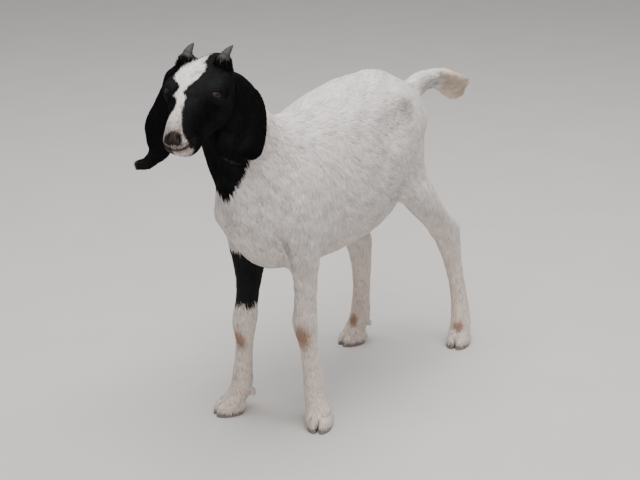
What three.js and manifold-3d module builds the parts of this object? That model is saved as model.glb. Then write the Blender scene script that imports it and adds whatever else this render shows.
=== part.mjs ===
// A young short-haired goat, standing with its head raised: a still, life-size model in solids.
//
// Millimetres. X runs forwards along the trunk, Y to the goat's left and Z up. The origin lies on the
// floor under the middle of the animal. Every outline is that of the coat, not of the skin under it.
//
// The flesh is one body, worked out as a field that is negative inside. Each part of it is a row of
// ovals: the outline seen from one side, with the half width at each station. Rows are blended into
// each other, the field is turned into a mesh, and the mesh is parted by thin cuts.

import * as THREE from 'three';
import { ParametricGeometry } from 'three/addons/geometries/ParametricGeometry.js';
import { mergeVertices } from 'three/addons/utils/BufferGeometryUtils.js';
import Module from 'manifold-3d';

const wasm = await Module();
wasm.setup();

// ---------------------------------------------------------------- driving sizes

const WITHERS = 478; // floor to the top of the shoulders
const CROUP = 510; // floor to the top of the hips
const KNEE = 162; // floor to the middle of the front knee
const HOCK = 196; // floor to the middle of the hock
const FETLOCK = 50; // floor to the middle of the fetlock
const CORONET = 15; // floor to the hair's lower edge, at the middle of a hoof
const HEAD_LENGTH = 152; // poll to the tip of the nose
const EAR_LENGTH = 150;
const EAR_THICK = 6.4;
const HORN_LENGTH = 40;
const HORN_RADIUS = 12;
const TAIL_ROOT = -170; // along the trunk
const TAIL_LENGTH = 184; // root to the tip of the brush
const GAP = 0.3; // left between pieces that touch
const LEFT = 1;
const RIGHT = -1;

// ---------------------------------------------------------------- curves and fields

// A smooth curve through rows of [station, value, value ...]; it returns the values at a station.
function curveThrough(rows) {
  const last = rows.length - 1;
  const slope = (i, k) => {
    const a = rows[Math.max(i - 1, 0)];
    const b = rows[Math.min(i + 1, last)];
    return (b[k] - a[k]) / (b[0] - a[0]);
  };
  return (s) => {
    let i = 0;
    while (i < last - 1 && s > rows[i + 1][0]) i += 1;
    const h = rows[i + 1][0] - rows[i][0];
    const t = THREE.MathUtils.clamp((s - rows[i][0]) / h, 0, 1);
    const rise = t * t * (3 - 2 * t);
    const leave = t * (1 - t) * (1 - t) * h;
    const arrive = -t * t * (1 - t) * h;
    return rows[i].slice(1).map((value, j) => {
      const k = j + 1;
      return value + (rows[i + 1][k] - value) * rise + slope(i, k) * leave + slope(i + 1, k) * arrive;
    });
  };
}

// A place and three directions: along a row, up across it, and out to its left.
function frameAt(origin, along, left) {
  const a = new THREE.Vector3(...along).normalize();
  const l = new THREE.Vector3(...left).normalize();
  const u = new THREE.Vector3().crossVectors(a, l).normalize();
  return { origin: new THREE.Vector3(...origin), along: a, up: u, left: l };
}

function intoFrame(frame, p) {
  const d = p.clone().sub(frame.origin);
  return [d.dot(frame.along), d.dot(frame.up), d.dot(frame.left)];
}

function outOfFrame(frame, s, up, left) {
  return frame.origin
    .clone()
    .addScaledVector(frame.along, s)
    .addScaledVector(frame.up, up)
    .addScaledVector(frame.left, left);
}

// A row of ovals. Each row is [station, top, bottom, half width, height of the widest place], with the
// distance to the left at the end, where it isn't 0. A power over 2 gives squarer ovals.
function ovalRow(frame, rows, power = 2) {
  const at = curveThrough(rows);
  const first = rows[0][0];
  const end = rows[rows.length - 1][0];
  return (p) => {
    const [s, up, left] = intoFrame(frame, p);
    const [top, bottom, half, widest, side = 0] = at(THREE.MathUtils.clamp(s, first, end));
    const v = up - widest;
    const w = left - side;
    const reach = v > 0 ? top - widest : widest - bottom;
    const r = (Math.abs(v / reach) ** power + Math.abs(w / half) ** power) ** (1 / power);
    const across = r < 1e-6 ? -Math.min(reach, half) : Math.hypot(v, w) * (1 - 1 / r);
    const past = Math.max(first - s, s - end);
    return across > 0 && past > 0 ? Math.hypot(across, past) : Math.max(across, past);
  };
}

// An egg of flesh: centre, three half sizes, and the frame that it is turned to.
function egg(frame, centre, size) {
  const middle = outOfFrame(frame, ...centre);
  return (p) => {
    const d = p.clone().sub(middle);
    const q = [d.dot(frame.along) / size[0], d.dot(frame.up) / size[1], d.dot(frame.left) / size[2]];
    const k0 = Math.hypot(...q);
    const k1 = Math.hypot(q[0] / size[0], q[1] / size[1], q[2] / size[2]);
    return k1 < 1e-9 ? -Math.min(...size) : (k0 * (k0 - 1)) / k1;
  };
}

// Joins two distances with a fillet about as wide as soft, or cuts the second out of the first.
function melt(a, b, soft) {
  const h = Math.max(soft - Math.abs(a - b), 0) / soft;
  return Math.min(a, b) - (h * h * soft) / 4;
}
const scoop = (a, b, soft) => -melt(-a, b, soft);

// How softly each kind of flesh runs into what it grows from: about the width of the fillet.
const FILLET = { neck: 46, flank: 24, swell: 22, leg: 20, head: 16, tail: 12, face: 10, chin: 8 };

// ---------------------------------------------------------------- the body plan

const FLOOR = frameAt([0, 0, 0], [1, 0, 0], [0, 1, 0]);

// Trunk: stations along X from the buttocks to the breast.
const trunk = ovalRow(
  FLOOR,
  [
    [-203, 434, 396, 10, 412],
    [-188, 455, 356, 26, 405],
    [-165, 473, 320, 40, 400],
    [-120, 497, 300, 64, 396],
    [-66, CROUP, 280, 82, 388],
    [-20, 513, 263, 94, 372],
    [30, 507, 256, 99, 362],
    [80, 497, 251, 94, 360],
    [120, 487, 250, 84, 360],
    [160, WITHERS, 253, 73, 362],
    [200, 462, 262, 62, 364],
    [238, 436, 297, 49, 364],
    [268, 408, 332, 32, 362],
    [287, 382, 350, 18, 364],
  ],
  2.1,
);

// Neck: stations up a line from between the shoulders to the back of the head.
const NECK = frameAt([175, 0, 400], [130, 10, 150], [-10, 130, 0]);
const neck = ovalRow(NECK, [
  [-20, 74, -104, 52, 0],
  [30, 62, -98, 48, 0],
  [75, 52, -95, 41, 0],
  [120, 46, -86, 36, 0],
  [160, 35, -73, 31, 0],
  [200, 16, -54, 23, 0],
]);

// Head: stations from the back of the skull to the tip of the nose, in a frame at the poll.
const HEAD_TURN = THREE.MathUtils.degToRad(21); // to the left
const HEAD_DIP = THREE.MathUtils.degToRad(31.5);
const POLL = [331, 10, 607];
const HEAD = frameAt(
  POLL,
  [Math.cos(HEAD_DIP) * Math.cos(HEAD_TURN), Math.cos(HEAD_DIP) * Math.sin(HEAD_TURN), -Math.sin(HEAD_DIP)],
  [-Math.sin(HEAD_TURN), Math.cos(HEAD_TURN), 0],
);
const skull = ovalRow(
  HEAD,
  [
    [-42, -32, -62, 12, -45],
    [-25, -20, -76, 24, -42],
    [0, -9, -88, 34, -33],
    [25, 1, -92, 42.5, -23],
    [50, 7, -86, 41, -22],
    [72, 8, -75, 35, -27],
    [90, 6, -68, 29, -28],
    [108, 4, -63, 24.5, -29],
    [124, 0, -55, 22, -26],
    [137, -5, -48, 20, -23],
    [146, -10, -38, 16, -22],
    [HEAD_LENGTH, -17, -29, 8, -22],
  ],
  2.2,
);

// Legs: stations up from the floor. A row is [height, x, y, half length, half width].
function leg(rows) {
  const upright = frameAt([0, 0, 0], [0, 0, 1], [0, 1, 0]);
  return ovalRow(
    upright,
    rows.map(([z, x, y, long, wide]) => [z, -x + long, -x - long, wide, -x, y]),
  );
}
const legs = {
  fore_left: leg([
    [4, 159, 71, 23, 20],
    [CORONET + 3, 156, 67, 23, 19.5],
    [32, 151, 61, 21, 18.5],
    [FETLOCK, 148, 54, 20, 16.5],
    [82, 150, 50, 16.5, 14.5],
    [110, 152, 47, 14.5, 13.5],
    [136, 154, 44, 16, 14.5],
    [KNEE - 4, 156, 42, 20.5, 18],
    [KNEE + 14, 157, 41, 21, 19],
    [198, 158, 43, 19.5, 17],
    [225, 161, 46, 21, 16.5],
    [252, 167, 50, 23.5, 18],
    [285, 175, 54, 32, 21],
    [325, 178, 55, 44, 24],
    [372, 183, 52, 45, 24],
    [420, 180, 44, 38, 19],
    [452, 174, 32, 24, 12],
  ]),
  fore_right: leg([
    [4, 203, -75, 23, 20],
    [CORONET + 3, 199, -72, 23, 19.5],
    [32, 191, -67, 21, 18.5],
    [FETLOCK, 186, -63, 20, 16.5],
    [82, 189, -57, 16.5, 14.5],
    [110, 193, -51, 14.5, 13.5],
    [136, 197, -46, 16, 14.5],
    [KNEE - 4, 200, -43, 20.5, 18],
    [KNEE + 14, 199, -42, 21, 19],
    [198, 193, -43, 19.5, 17],
    [225, 186, -45, 22.5, 18.5],
    [252, 180, -48, 29, 21.5],
    [285, 178, -54, 36, 21],
    [325, 178, -55, 44, 24],
    [372, 183, -52, 45, 24],
    [420, 180, -44, 38, 19],
    [452, 174, -32, 24, 12],
  ]),
  hind_left: leg([
    [4, -236, 76, 22, 19.5],
    [CORONET + 3, -239, 76, 22, 19],
    [32, -245, 74, 20.5, 18],
    [FETLOCK, -250, 71, 19.5, 16.5],
    [85, -252, 65, 16, 14.5],
    [118, -250, 59, 16, 14],
    [152, -244, 54, 19.5, 15],
    [178, -237, 52, 26, 16.5],
    [HOCK + 6, -227, 52, 33, 17.5],
    [HOCK + 18, -219, 53, 40, 17],
    [231, -202, 54, 38, 17.5],
    [252, -177, 55, 37, 20],
    [280, -144, 58, 39, 24],
    [312, -117, 55, 44, 27],
    [345, -99, 49, 45, 27],
    [390, -95, 42, 43, 26],
    [430, -98, 37, 40, 24],
    [460, -98, 28, 32, 16],
  ]),
  hind_right: leg([
    [4, -132, -79, 22, 19.5],
    [CORONET + 3, -134, -78, 22, 19],
    [32, -141, -76, 21, 18.5],
    [FETLOCK, -147, -73, 20.5, 17.5],
    [85, -141, -67, 17, 15.5],
    [118, -134, -61, 17, 15],
    [152, -127, -57, 20, 16],
    [178, -121, -55, 25, 17],
    [HOCK + 6, -114, -54, 31, 18],
    [HOCK + 18, -106, -54, 34, 18],
    [231, -92, -55, 32, 18.5],
    [252, -78, -57, 34, 21],
    [280, -66, -58, 37, 24],
    [312, -70, -56, 43, 27],
    [345, -80, -49, 45, 27],
    [390, -90, -42, 43, 26],
    [430, -95, -37, 40, 24],
    [460, -97, -28, 32, 16],
  ]),
};

// Tail: stations from inside the rump back to the tip of the brush.
const TAIL = frameAt([TAIL_ROOT, 0, 0], [-1, 0, 0], [0, -1, 0]);
const tail = ovalRow(TAIL, [
  [-26, 468, 424, 18, 446],
  [4, 478, 432, 17, 454],
  [28, 485, 441, 16, 464],
  [56, 487, 450, 16, 470],
  [86, 484, 446, 16, 466],
  [116, 478, 428, 17, 456],
  [144, 466, 414, 16, 442],
  [170, 454, 420, 11, 436],
  [TAIL_LENGTH, 444, 430, 5, 437],
]);

// Bones and muscles that stand out of the trunk: a centre and half sizes each.
const swells = [
  egg(FLOOR, [160, 438, 0], [54, 42, 20]), // withers
  egg(FLOOR, [202, 298, 0], [34, 24, 22]), // brisket
  egg(FLOOR, [-66, 490, 0], [34, 22, 16]), // top of the croup
];
for (const side of [LEFT, RIGHT]) {
  swells.push(
    egg(FLOOR, [220, 344, side * 36], [26, 28, 20]), // point of the shoulder
    egg(FLOOR, [-66, 474, side * 50], [22, 15, 18]), // hip bone
    egg(FLOOR, [-178, 414, side * 17], [14, 16, 12]), // pin bone
  );
}
const flanks = [LEFT, RIGHT].map((side) => egg(FLOOR, [-22, 452, side * 98], [40, 28, 20]));

// The eyes, and the brows, cheeks and horn stumps round them, in the head's frame.
const EYE_PLACE = [60, -10, 29];
const EYE_RADIUS = 12.5;
const HORN_PLACE = [6, -6, 26];
const faceSwells = [LEFT, RIGHT].flatMap((side) => [
  egg(HEAD, [52, -13, side * 31], [18, 13, 14]),
  egg(HEAD, [32, -56, side * 21], [34, 27, 14]),
  egg(HEAD, [5, -13, side * HORN_PLACE[2]], [16, 14, 11]),
]);
const chin = egg(HEAD, [119, -45, 4], [19, 10, 16]);

function headField(p) {
  let d = skull(p);
  for (const swell of faceSwells) d = melt(d, swell(p), FILLET.face);
  return melt(d, chin(p), FILLET.chin);
}

function bodyField(p) {
  let d = melt(trunk(p), neck(p), FILLET.neck);
  for (const swell of swells) d = melt(d, swell(p), FILLET.swell);
  for (const flank of flanks) d = scoop(d, flank(p), FILLET.flank);
  for (const one of Object.values(legs)) d = melt(d, one(p), FILLET.leg);
  d = melt(d, tail(p), FILLET.tail);
  return melt(d, headField(p), FILLET.head);
}

// ---------------------------------------------------------------- meshes

function solidFrom(positions, faces) {
  return new wasm.Manifold(
    new wasm.Mesh({ numProp: 3, vertProperties: positions, triVerts: new Uint32Array(faces) }),
  );
}

// Turns a closed geometry into a solid: shared corners are merged, and a surface that faces in is
// turned to face out.
function solidOf(geometry) {
  const bare = geometry.clone();
  bare.deleteAttribute('normal');
  bare.deleteAttribute('uv');
  const merged = mergeVertices(bare, 1e-3);
  const positions = merged.attributes.position.array;
  const faces = [];
  const index = merged.index.array;
  for (let i = 0; i < index.length; i += 3) {
    const [a, b, c] = [index[i], index[i + 1], index[i + 2]];
    if (a !== b && b !== c && c !== a) faces.push(a, b, c);
  }
  const solid = solidFrom(positions, faces);
  return solid.volume() > 0 ? solid : solidFrom(positions, faces.toReversed());
}

const SIDES_OF_CELL = [[1, 0, 0], [0, 1, 0], [0, 0, 1]];
const CORNERS = [0, 1, 2, 3, 4, 5, 6, 7].map((n) => [n & 1, (n >> 1) & 1, (n >> 2) & 1]);
const EDGES = CORNERS.flatMap((a, m) =>
  CORNERS.map((_, n) => [m, n]).filter(([, n]) => {
    const b = CORNERS[n];
    return n > m && Math.abs(a[0] - b[0]) + Math.abs(a[1] - b[1]) + Math.abs(a[2] - b[2]) === 1;
  }),
);

// The surface where field equals level, inside a box. Each cell of a grid that the surface crosses
// gets a vertex for each clump of its inner corners, each crossed edge gets a four-sided face round
// it, and the vertices are pulled onto the surface at the end.
function surfaceOf(field, box, step, level = 0) {
  const size = box.getSize(new THREE.Vector3());
  const count = [size.x, size.y, size.z].map((length) => Math.ceil(length / step) + 1);
  const [nx, ny, nz] = count;
  const values = new Float32Array(nx * ny * nz);
  const point = (i, j, k) => new THREE.Vector3(i, j, k).multiplyScalar(step).add(box.min);
  const slot = (i, j, k) => i + nx * (j + ny * k);
  for (let k = 0; k < nz; k += 1) {
    for (let j = 0; j < ny; j += 1) {
      for (let i = 0; i < nx; i += 1) {
        const rim = [i, j, k].some((n, axis) => n === 0 || n === count[axis] - 1);
        values[slot(i, j, k)] = rim ? step : field(point(i, j, k)) - level;
      }
    }
  }

  const places = [];
  const cells = new Map();
  const cellAt = (i, j, k) => {
    const key = slot(i, j, k);
    if (cells.has(key)) return cells.get(key);
    const value = CORNERS.map(([a, b, c]) => values[slot(i + a, j + b, k + c)]);
    const clump = CORNERS.map((_, n) => n);
    for (let round = 0; round < CORNERS.length; round += 1) {
      for (const [m, n] of EDGES) {
        if (value[m] >= 0 || value[n] >= 0) continue;
        const name = Math.min(clump[m], clump[n]);
        clump[m] = name;
        clump[n] = name;
      }
    }
    const vertexOf = new Map();
    for (const name of new Set(clump.filter((_, n) => value[n] < 0))) {
      const sum = new THREE.Vector3();
      let crossings = 0;
      for (const [m, n] of EDGES) {
        if (value[m] < 0 === value[n] < 0 || clump[value[m] < 0 ? m : n] !== name) continue;
        const [a, b] = [CORNERS[m], CORNERS[n]];
        const start = point(i + a[0], j + a[1], k + a[2]);
        const end = point(i + b[0], j + b[1], k + b[2]);
        sum.add(start.lerp(end, value[m] / (value[m] - value[n])));
        crossings += 1;
      }
      vertexOf.set(name, places.length);
      places.push(sum.divideScalar(Math.max(crossings, 1)));
    }
    const corner = clump.map((name) => vertexOf.get(name));
    cells.set(key, corner);
    return corner;
  };

  const faces = [];
  for (let k = 0; k < nz - 1; k += 1) {
    for (let j = 0; j < ny - 1; j += 1) {
      for (let i = 0; i < nx - 1; i += 1) {
        SIDES_OF_CELL.forEach((along, axis) => {
          const here = values[slot(i, j, k)] < 0;
          const there = values[slot(i + along[0], j + along[1], k + along[2])] < 0;
          if (here === there) return;
          const u = SIDES_OF_CELL[(axis + 1) % 3];
          const w = SIDES_OF_CELL[(axis + 2) % 3];
          const ring = [[0, 0], [1, 0], [1, 1], [0, 1]].map(([a, b]) => {
            const back = [0, 1, 2].map((c) => a * u[c] + b * w[c]);
            const inner = back.map((c, n) => c + (here ? 0 : along[n]));
            const corner = inner[0] + 2 * inner[1] + 4 * inner[2];
            return cellAt(i - back[0], j - back[1], k - back[2])[corner];
          });
          if (!here) ring.reverse();
          const [a, b, c, d] = ring;
          const short = places[a].distanceTo(places[c]) < places[b].distanceTo(places[d]);
          if (short) faces.push(a, b, c, a, c, d);
          else faces.push(b, c, d, b, d, a);
        });
      }
    }
  }

  const reach = 0.5;
  const flattest = 0.2; // a slope squared, under which the pull is held back
  const nudges = SIDES_OF_CELL.map((side) => new THREE.Vector3(...side).multiplyScalar(reach));
  const rise = (place, nudge) => field(place.clone().add(nudge)) - field(place.clone().sub(nudge));
  for (const place of places) {
    for (let pull = 0; pull < 2; pull += 1) {
      const slope = new THREE.Vector3(...nudges.map((nudge) => rise(place, nudge) / (2 * reach)));
      const off = level - field(place);
      place.add(slope.multiplyScalar(off / Math.max(slope.lengthSq(), flattest)).clampLength(0, step / 3));
    }
  }
  return solidFrom(new Float32Array(places.flatMap((p) => [p.x, p.y, p.z])), faces);
}

const boxOf = (low, high) => new THREE.Box3(new THREE.Vector3(...low), new THREE.Vector3(...high));

// A closed tube round a line: shape(t) gives its half width, half thickness and dish at a share t of
// its length, and the width lies along wide.
function tubeAlong(curve, wide, shape, sides, rings) {
  const surface = (u, t, target) => {
    const angle = u * 2 * Math.PI;
    const along = curve.getTangent(t);
    const across = wide.clone().addScaledVector(along, -wide.dot(along)).normalize();
    const outward = new THREE.Vector3().crossVectors(along, across);
    const [half, thick, dish] = shape(t);
    const w = half * Math.cos(angle);
    const lift = thick * Math.sin(angle) - dish * Math.cos(angle) ** 2;
    target.copy(curve.getPoint(t)).addScaledVector(across, w).addScaledVector(outward, lift);
  };
  return solidOf(new ParametricGeometry(surface, sides, rings));
}

// ---------------------------------------------------------------- ears, horns and eyes

// The head's frame without its dip, because ears hang straight down.
const FACING = frameAt(
  POLL,
  [Math.cos(HEAD_TURN), Math.sin(HEAD_TURN), 0],
  [-Math.sin(HEAD_TURN), Math.cos(HEAD_TURN), 0],
);

// Ears: wide leaves that droop beside the cheeks, hollow towards the back. The right one's tip is
// turned out. A line's rows are [forwards, up, out], and a width's are [share of the length, half].
const ears = {
  left: {
    side: LEFT,
    line: [
      [-10, -21, 22],
      [-13, -33, 35],
      [-18, -56, 45],
      [-23, -84, 49],
      [-14, -108, 46],
      [1, -127, 41],
      [8, 8 - EAR_LENGTH, 37],
    ],
    wide: [-0.8, 0.6],
    width: [
      [0, 9], [0.14, 13], [0.3, 23], [0.46, 34], [0.6, 42], [0.7, 42.5], [0.79, 35.5], [0.87, 28],
      [0.94, 21], [0.98, 16], [1, 0],
    ],
  },
  right: {
    side: RIGHT,
    line: [
      [-12, -16, 18],
      [-7, -19, 34],
      [0, -30, 45],
      [2, -52, 50],
      [5, -76, 57],
      [8, -99, 65],
      [10, -118, 68],
      [12, -136, 72],
      [16, 2 - EAR_LENGTH, 82],
      [19, -4 - EAR_LENGTH, 100],
    ],
    wide: [-0.35, 0.94],
    width: [
      [0, 9], [0.12, 13], [0.27, 18], [0.43, 26], [0.6, 32], [0.72, 24], [0.83, 14], [0.93, 12],
      [1, 0],
    ],
  },
};

const EAR_DISH = 0.16; // depth of the hollow, as a share of the half width
const EAR_THIN = 12; // the half width under which an ear gets thinner

function ear({ side, line, wide, width }) {
  const curve = new THREE.CatmullRomCurve3(line.map(([s, up, out]) => outOfFrame(FACING, s, up, side * out)));
  const across = FACING.along.clone().multiplyScalar(wide[0]).addScaledVector(FACING.left, side * wide[1]);
  const halfWidth = curveThrough(width);
  const shape = (t) => {
    const half = t === 0 || t === 1 ? 0 : halfWidth(t)[0];
    return [half, (EAR_THICK / 2) * Math.min(1, half / EAR_THIN), side * EAR_DISH * half];
  };
  return tubeAlong(curve, across, shape, 16, 14);
}

// Horns: short cones that lean back, and a little to the left.
const HORN_TAPER = 0.85; // under 1 is a full cone, 1 a straight one
const HORN_FLAT = 0.9; // thickness as a share of the width

function horn(side) {
  const [s, up, out] = HORN_PLACE;
  const line = [
    [s + 6, up - 9, side * out - 2],
    [s - 1, up + 3, side * out],
    [s - 12, up + 9, side * (out + 1) + 3],
    [s - HORN_LENGTH * 0.7, up + 8, side * (out + 2) + 6],
  ];
  const curve = new THREE.CatmullRomCurve3(line.map((place) => outOfFrame(HEAD, ...place)));
  const shape = (t) => {
    const radius = t === 0 || t === 1 ? 0 : HORN_RADIUS * (1 - t) ** HORN_TAPER;
    return [radius, radius * HORN_FLAT, 0];
  };
  return tubeAlong(curve, HEAD.left, shape, 12, 8);
}

function eyeball(side, radius) {
  const [s, up, out] = EYE_PLACE;
  const ball = new THREE.SphereGeometry(radius, 14, 8);
  ball.translate(...outOfFrame(HEAD, s, up, side * out));
  return solidOf(ball);
}

// ---------------------------------------------------------------- hooves

// The middle of each hoof on the floor, the middle of the pastern over it, and the angle by which
// the toe is turned to the left.
const feet = {
  fore_left: { place: [158, 70], pastern: [149, 57], turn: 28 },
  fore_right: { place: [204, -75], pastern: [188, -65], turn: -25 },
  hind_left: { place: [-236, 76], pastern: [-248, 72], turn: 16 },
  hind_right: { place: [-131, -79], pastern: [-144, -75], turn: -14 },
};
const CORONET_RISE = 0.26; // slope of the hair's edge, which is higher at the toe
const CLAW = { toe: 25, heel: 19, wide: 17.5, split: 3, height: 28, lean: 9 };
const DEWCLAW = { behind: 18, apart: 9, height: 38, size: [6, 5, 8] };

function standAt([x, y], turn, geometry) {
  return geometry.rotateZ(THREE.MathUtils.degToRad(turn)).translate(x, y, 0);
}

// The plane of the hair's lower edge round a hoof.
function coronetOf({ place, turn }) {
  const angle = THREE.MathUtils.degToRad(turn);
  const normal = new THREE.Vector3(-CORONET_RISE * Math.cos(angle), -CORONET_RISE * Math.sin(angle), 1);
  return new THREE.Plane().setFromNormalAndCoplanarPoint(
    normal.normalize(),
    new THREE.Vector3(place[0], place[1], CORONET),
  );
}

// One claw: an outline on the floor, drawn in and back towards the top.
function claw(foot, side) {
  const { toe, heel, wide, split, height, lean } = CLAW;
  // Places round the sole: [forwards, share of the width].
  const outline = [
    [-heel, 0.18],
    [-heel * 0.55, 0.02],
    [toe * 0.6, 0],
    [toe, 0.16],
    [toe * 0.93, 0.5],
    [toe * 0.55, 0.87],
    [0, 1],
    [-heel * 0.6, 0.95],
    [-heel, 0.62],
  ];
  const ring = new THREE.CatmullRomCurve3(
    outline.map(([s, share]) => new THREE.Vector3(s, side * (split / 2 + wide * share), 0)),
    true,
  );
  const middle = (side * (split + wide)) / 2;
  // Rings from the middle of the sole to the middle of the top: [height, size, share of the lean].
  const levels = [
    [0, 0, 0],
    [0, 1, 0],
    [4, 1.01, 0.1],
    [height, 0.9, 1],
    [height, 0, 1],
  ];
  const surface = (u, t, target) => {
    const [z, grow, back] = levels[Math.round(t * (levels.length - 1))];
    const p = ring.getPoint(u % 1);
    target.set(p.x * grow - back * lean, middle + (p.y - middle) * grow, z);
  };
  return solidOf(standAt(foot.place, foot.turn, new ParametricGeometry(surface, 14, levels.length - 1)));
}

function dewclaw(foot, side) {
  const bud = new THREE.SphereGeometry(1, 8, 6).scale(...DEWCLAW.size);
  bud.translate(-DEWCLAW.behind, side * DEWCLAW.apart, DEWCLAW.height);
  return solidOf(standAt(foot.pastern, foot.turn, bud));
}

// ---------------------------------------------------------------- the cuts and the pieces

const planeAt = (normal, point) =>
  new THREE.Plane().setFromNormalAndCoplanarPoint(
    new THREE.Vector3(...normal).normalize(),
    new THREE.Vector3(...point),
  );
const poll = HEAD.along.clone().multiplyScalar(0.7).addScaledVector(HEAD.up, 0.72);
const CUTS = {
  belly: planeAt([0.108, 0, 0.994], [160, 0, 240]),
  neck: planeAt([0.62, 0, 0.78], [175, 0, 474]),
  head: planeAt(poll.toArray(), outOfFrame(HEAD, -34, -15, 0).toArray()),
  tail: planeAt([-0.8, 0, 0.6], [-186, 0, 452]),
};

// Keeps what lies on one side of a cut, half a gap away from it.
function keep(solid, cut, side) {
  const { x, y, z } = cut.normal;
  return solid.trimByPlane([side * x, side * y, side * z], -side * cut.constant + GAP / 2);
}

const STEP = { trunk: 18, neck: 14, tail: 12, leg: 11, head: 9, ear: 8, dewclaw: 8, horn: 6 };
const COARSE = 0.1; // how far a mesh may be smoothed, as a share of its step
const CLEAR = 1.2; // the gap, and how far the head's and feet's faceted surfaces may be from their field

function flesh(low, high, step, ...cuts) {
  let solid = surfaceOf(bodyField, boxOf(low, high), step).simplify(COARSE * step);
  for (const [cut, side] of cuts) solid = keep(solid, cut, side);
  return largest(solid);
}

function largest(solid) {
  return solid.decompose().reduce((best, one) => (one.volume() > best.volume() ? one : best));
}

function clearOfFlesh(solid, step) {
  const { min, max } = solid.boundingBox();
  const low = min.map((v) => v - 3 * step);
  const high = max.map((v) => v + 3 * step);
  return largest(solid.subtract(surfaceOf(bodyField, boxOf(low, high), step, CLEAR)));
}

const WHITE = { color: 0xe9e2da, roughness: 0.9, metalness: 0 };
const BLACK = { color: 0x121114, roughness: 0.8, metalness: 0 };
const HORN = { color: 0x6e675f, roughness: 0.5, metalness: 0 };
const HOOF = { color: 0x55514d, roughness: 0.5, metalness: 0 };
const EYE = { color: 0x8a5a30, roughness: 0.15, metalness: 0 };

const goat = new THREE.Group();

function add(name, solid, finish) {
  const mesh = solid.getMesh();
  const geometry = new THREE.BufferGeometry();
  geometry.setAttribute('position', new THREE.BufferAttribute(mesh.vertProperties, 3));
  geometry.setIndex(new THREE.BufferAttribute(mesh.triVerts, 1));
  geometry.computeVertexNormals();
  const piece = new THREE.Mesh(geometry, new THREE.MeshStandardMaterial(finish));
  piece.name = name;
  goat.add(piece);
}

// Boxes, [low, high], that hold each piece of flesh with room to spare.
const ROOM = {
  trunk: [[-300, -140, 200], [360, 140, 560]],
  neck: [[100, -90, 320], [430, 110, 660]],
  tail: [[-390, -40, 370], [-120, 40, 520]],
  head: [[260, -70, 430], [500, 120, 640]],
};
// The same for a leg: how far back and forward it reaches, how far out, and how high.
const LEG_ROOM = { fore: [90, 280], hind: [-320, -10], out: 130, low: -20, high: 330 };

add('trunk', flesh(...ROOM.trunk, STEP.trunk, [CUTS.belly, 1], [CUTS.neck, -1], [CUTS.tail, -1]), WHITE);
add('neck', flesh(...ROOM.neck, STEP.neck, [CUTS.neck, 1], [CUTS.head, -1]), BLACK);
add('tail', flesh(...ROOM.tail, STEP.tail, [CUTS.tail, 1]), WHITE);

let headPiece = flesh(...ROOM.head, STEP.head, [CUTS.head, 1]);
for (const [name, side] of [['left', LEFT], ['right', RIGHT]]) {
  headPiece = headPiece.subtract(eyeball(side, EYE_RADIUS + GAP));
  add(`eye_${name}`, eyeball(side, EYE_RADIUS), EYE);
  add(`ear_${name}`, clearOfFlesh(ear(ears[name]), STEP.ear), BLACK);
  add(`horn_${name}`, clearOfFlesh(horn(side), STEP.horn), HORN);
}
add('head', largest(headPiece), BLACK);

for (const [name, foot] of Object.entries(feet)) {
  const side = foot.place[1] > 0 ? LEFT : RIGHT;
  const [back, front] = LEG_ROOM[name.slice(0, 4)];
  const sides = [(side * GAP) / 2, side * LEG_ROOM.out];
  const low = [back, Math.min(...sides), LEG_ROOM.low];
  const high = [front, Math.max(...sides), LEG_ROOM.high];
  const coronet = coronetOf(foot);
  add(`${name}_leg`, flesh(low, high, STEP.leg, [CUTS.belly, -1], [coronet, 1]), WHITE);
  for (const [half, which] of [[LEFT, 'left'], [RIGHT, 'right']]) {
    add(`${name}_claw_${which}`, keep(claw(foot, half), coronet, -1), HOOF);
    add(`${name}_dewclaw_${which}`, clearOfFlesh(dewclaw(foot, half), STEP.dewclaw), HOOF);
  }
}

// The origin goes to the middle of the animal's box, on the floor.
const box = new THREE.Box3().setFromObject(goat);
const middle = box.getCenter(new THREE.Vector3());
goat.position.set(-middle.x, -middle.y, 0);

export default goat;
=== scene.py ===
# %% [markdown]
# # A young short-haired goat, standing with its head raised
#
# The goat is a life-size museum model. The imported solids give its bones: where each part is and how
# large. This script gives it skin, coat, ears, horns, hooves and eyes.
#
# The plan of the body is written in millimetres, in the frame that the solids were planned in: X
# forwards, Y to the goat's left, Z up from the floor. One shift takes it to the frame of the row.

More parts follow.
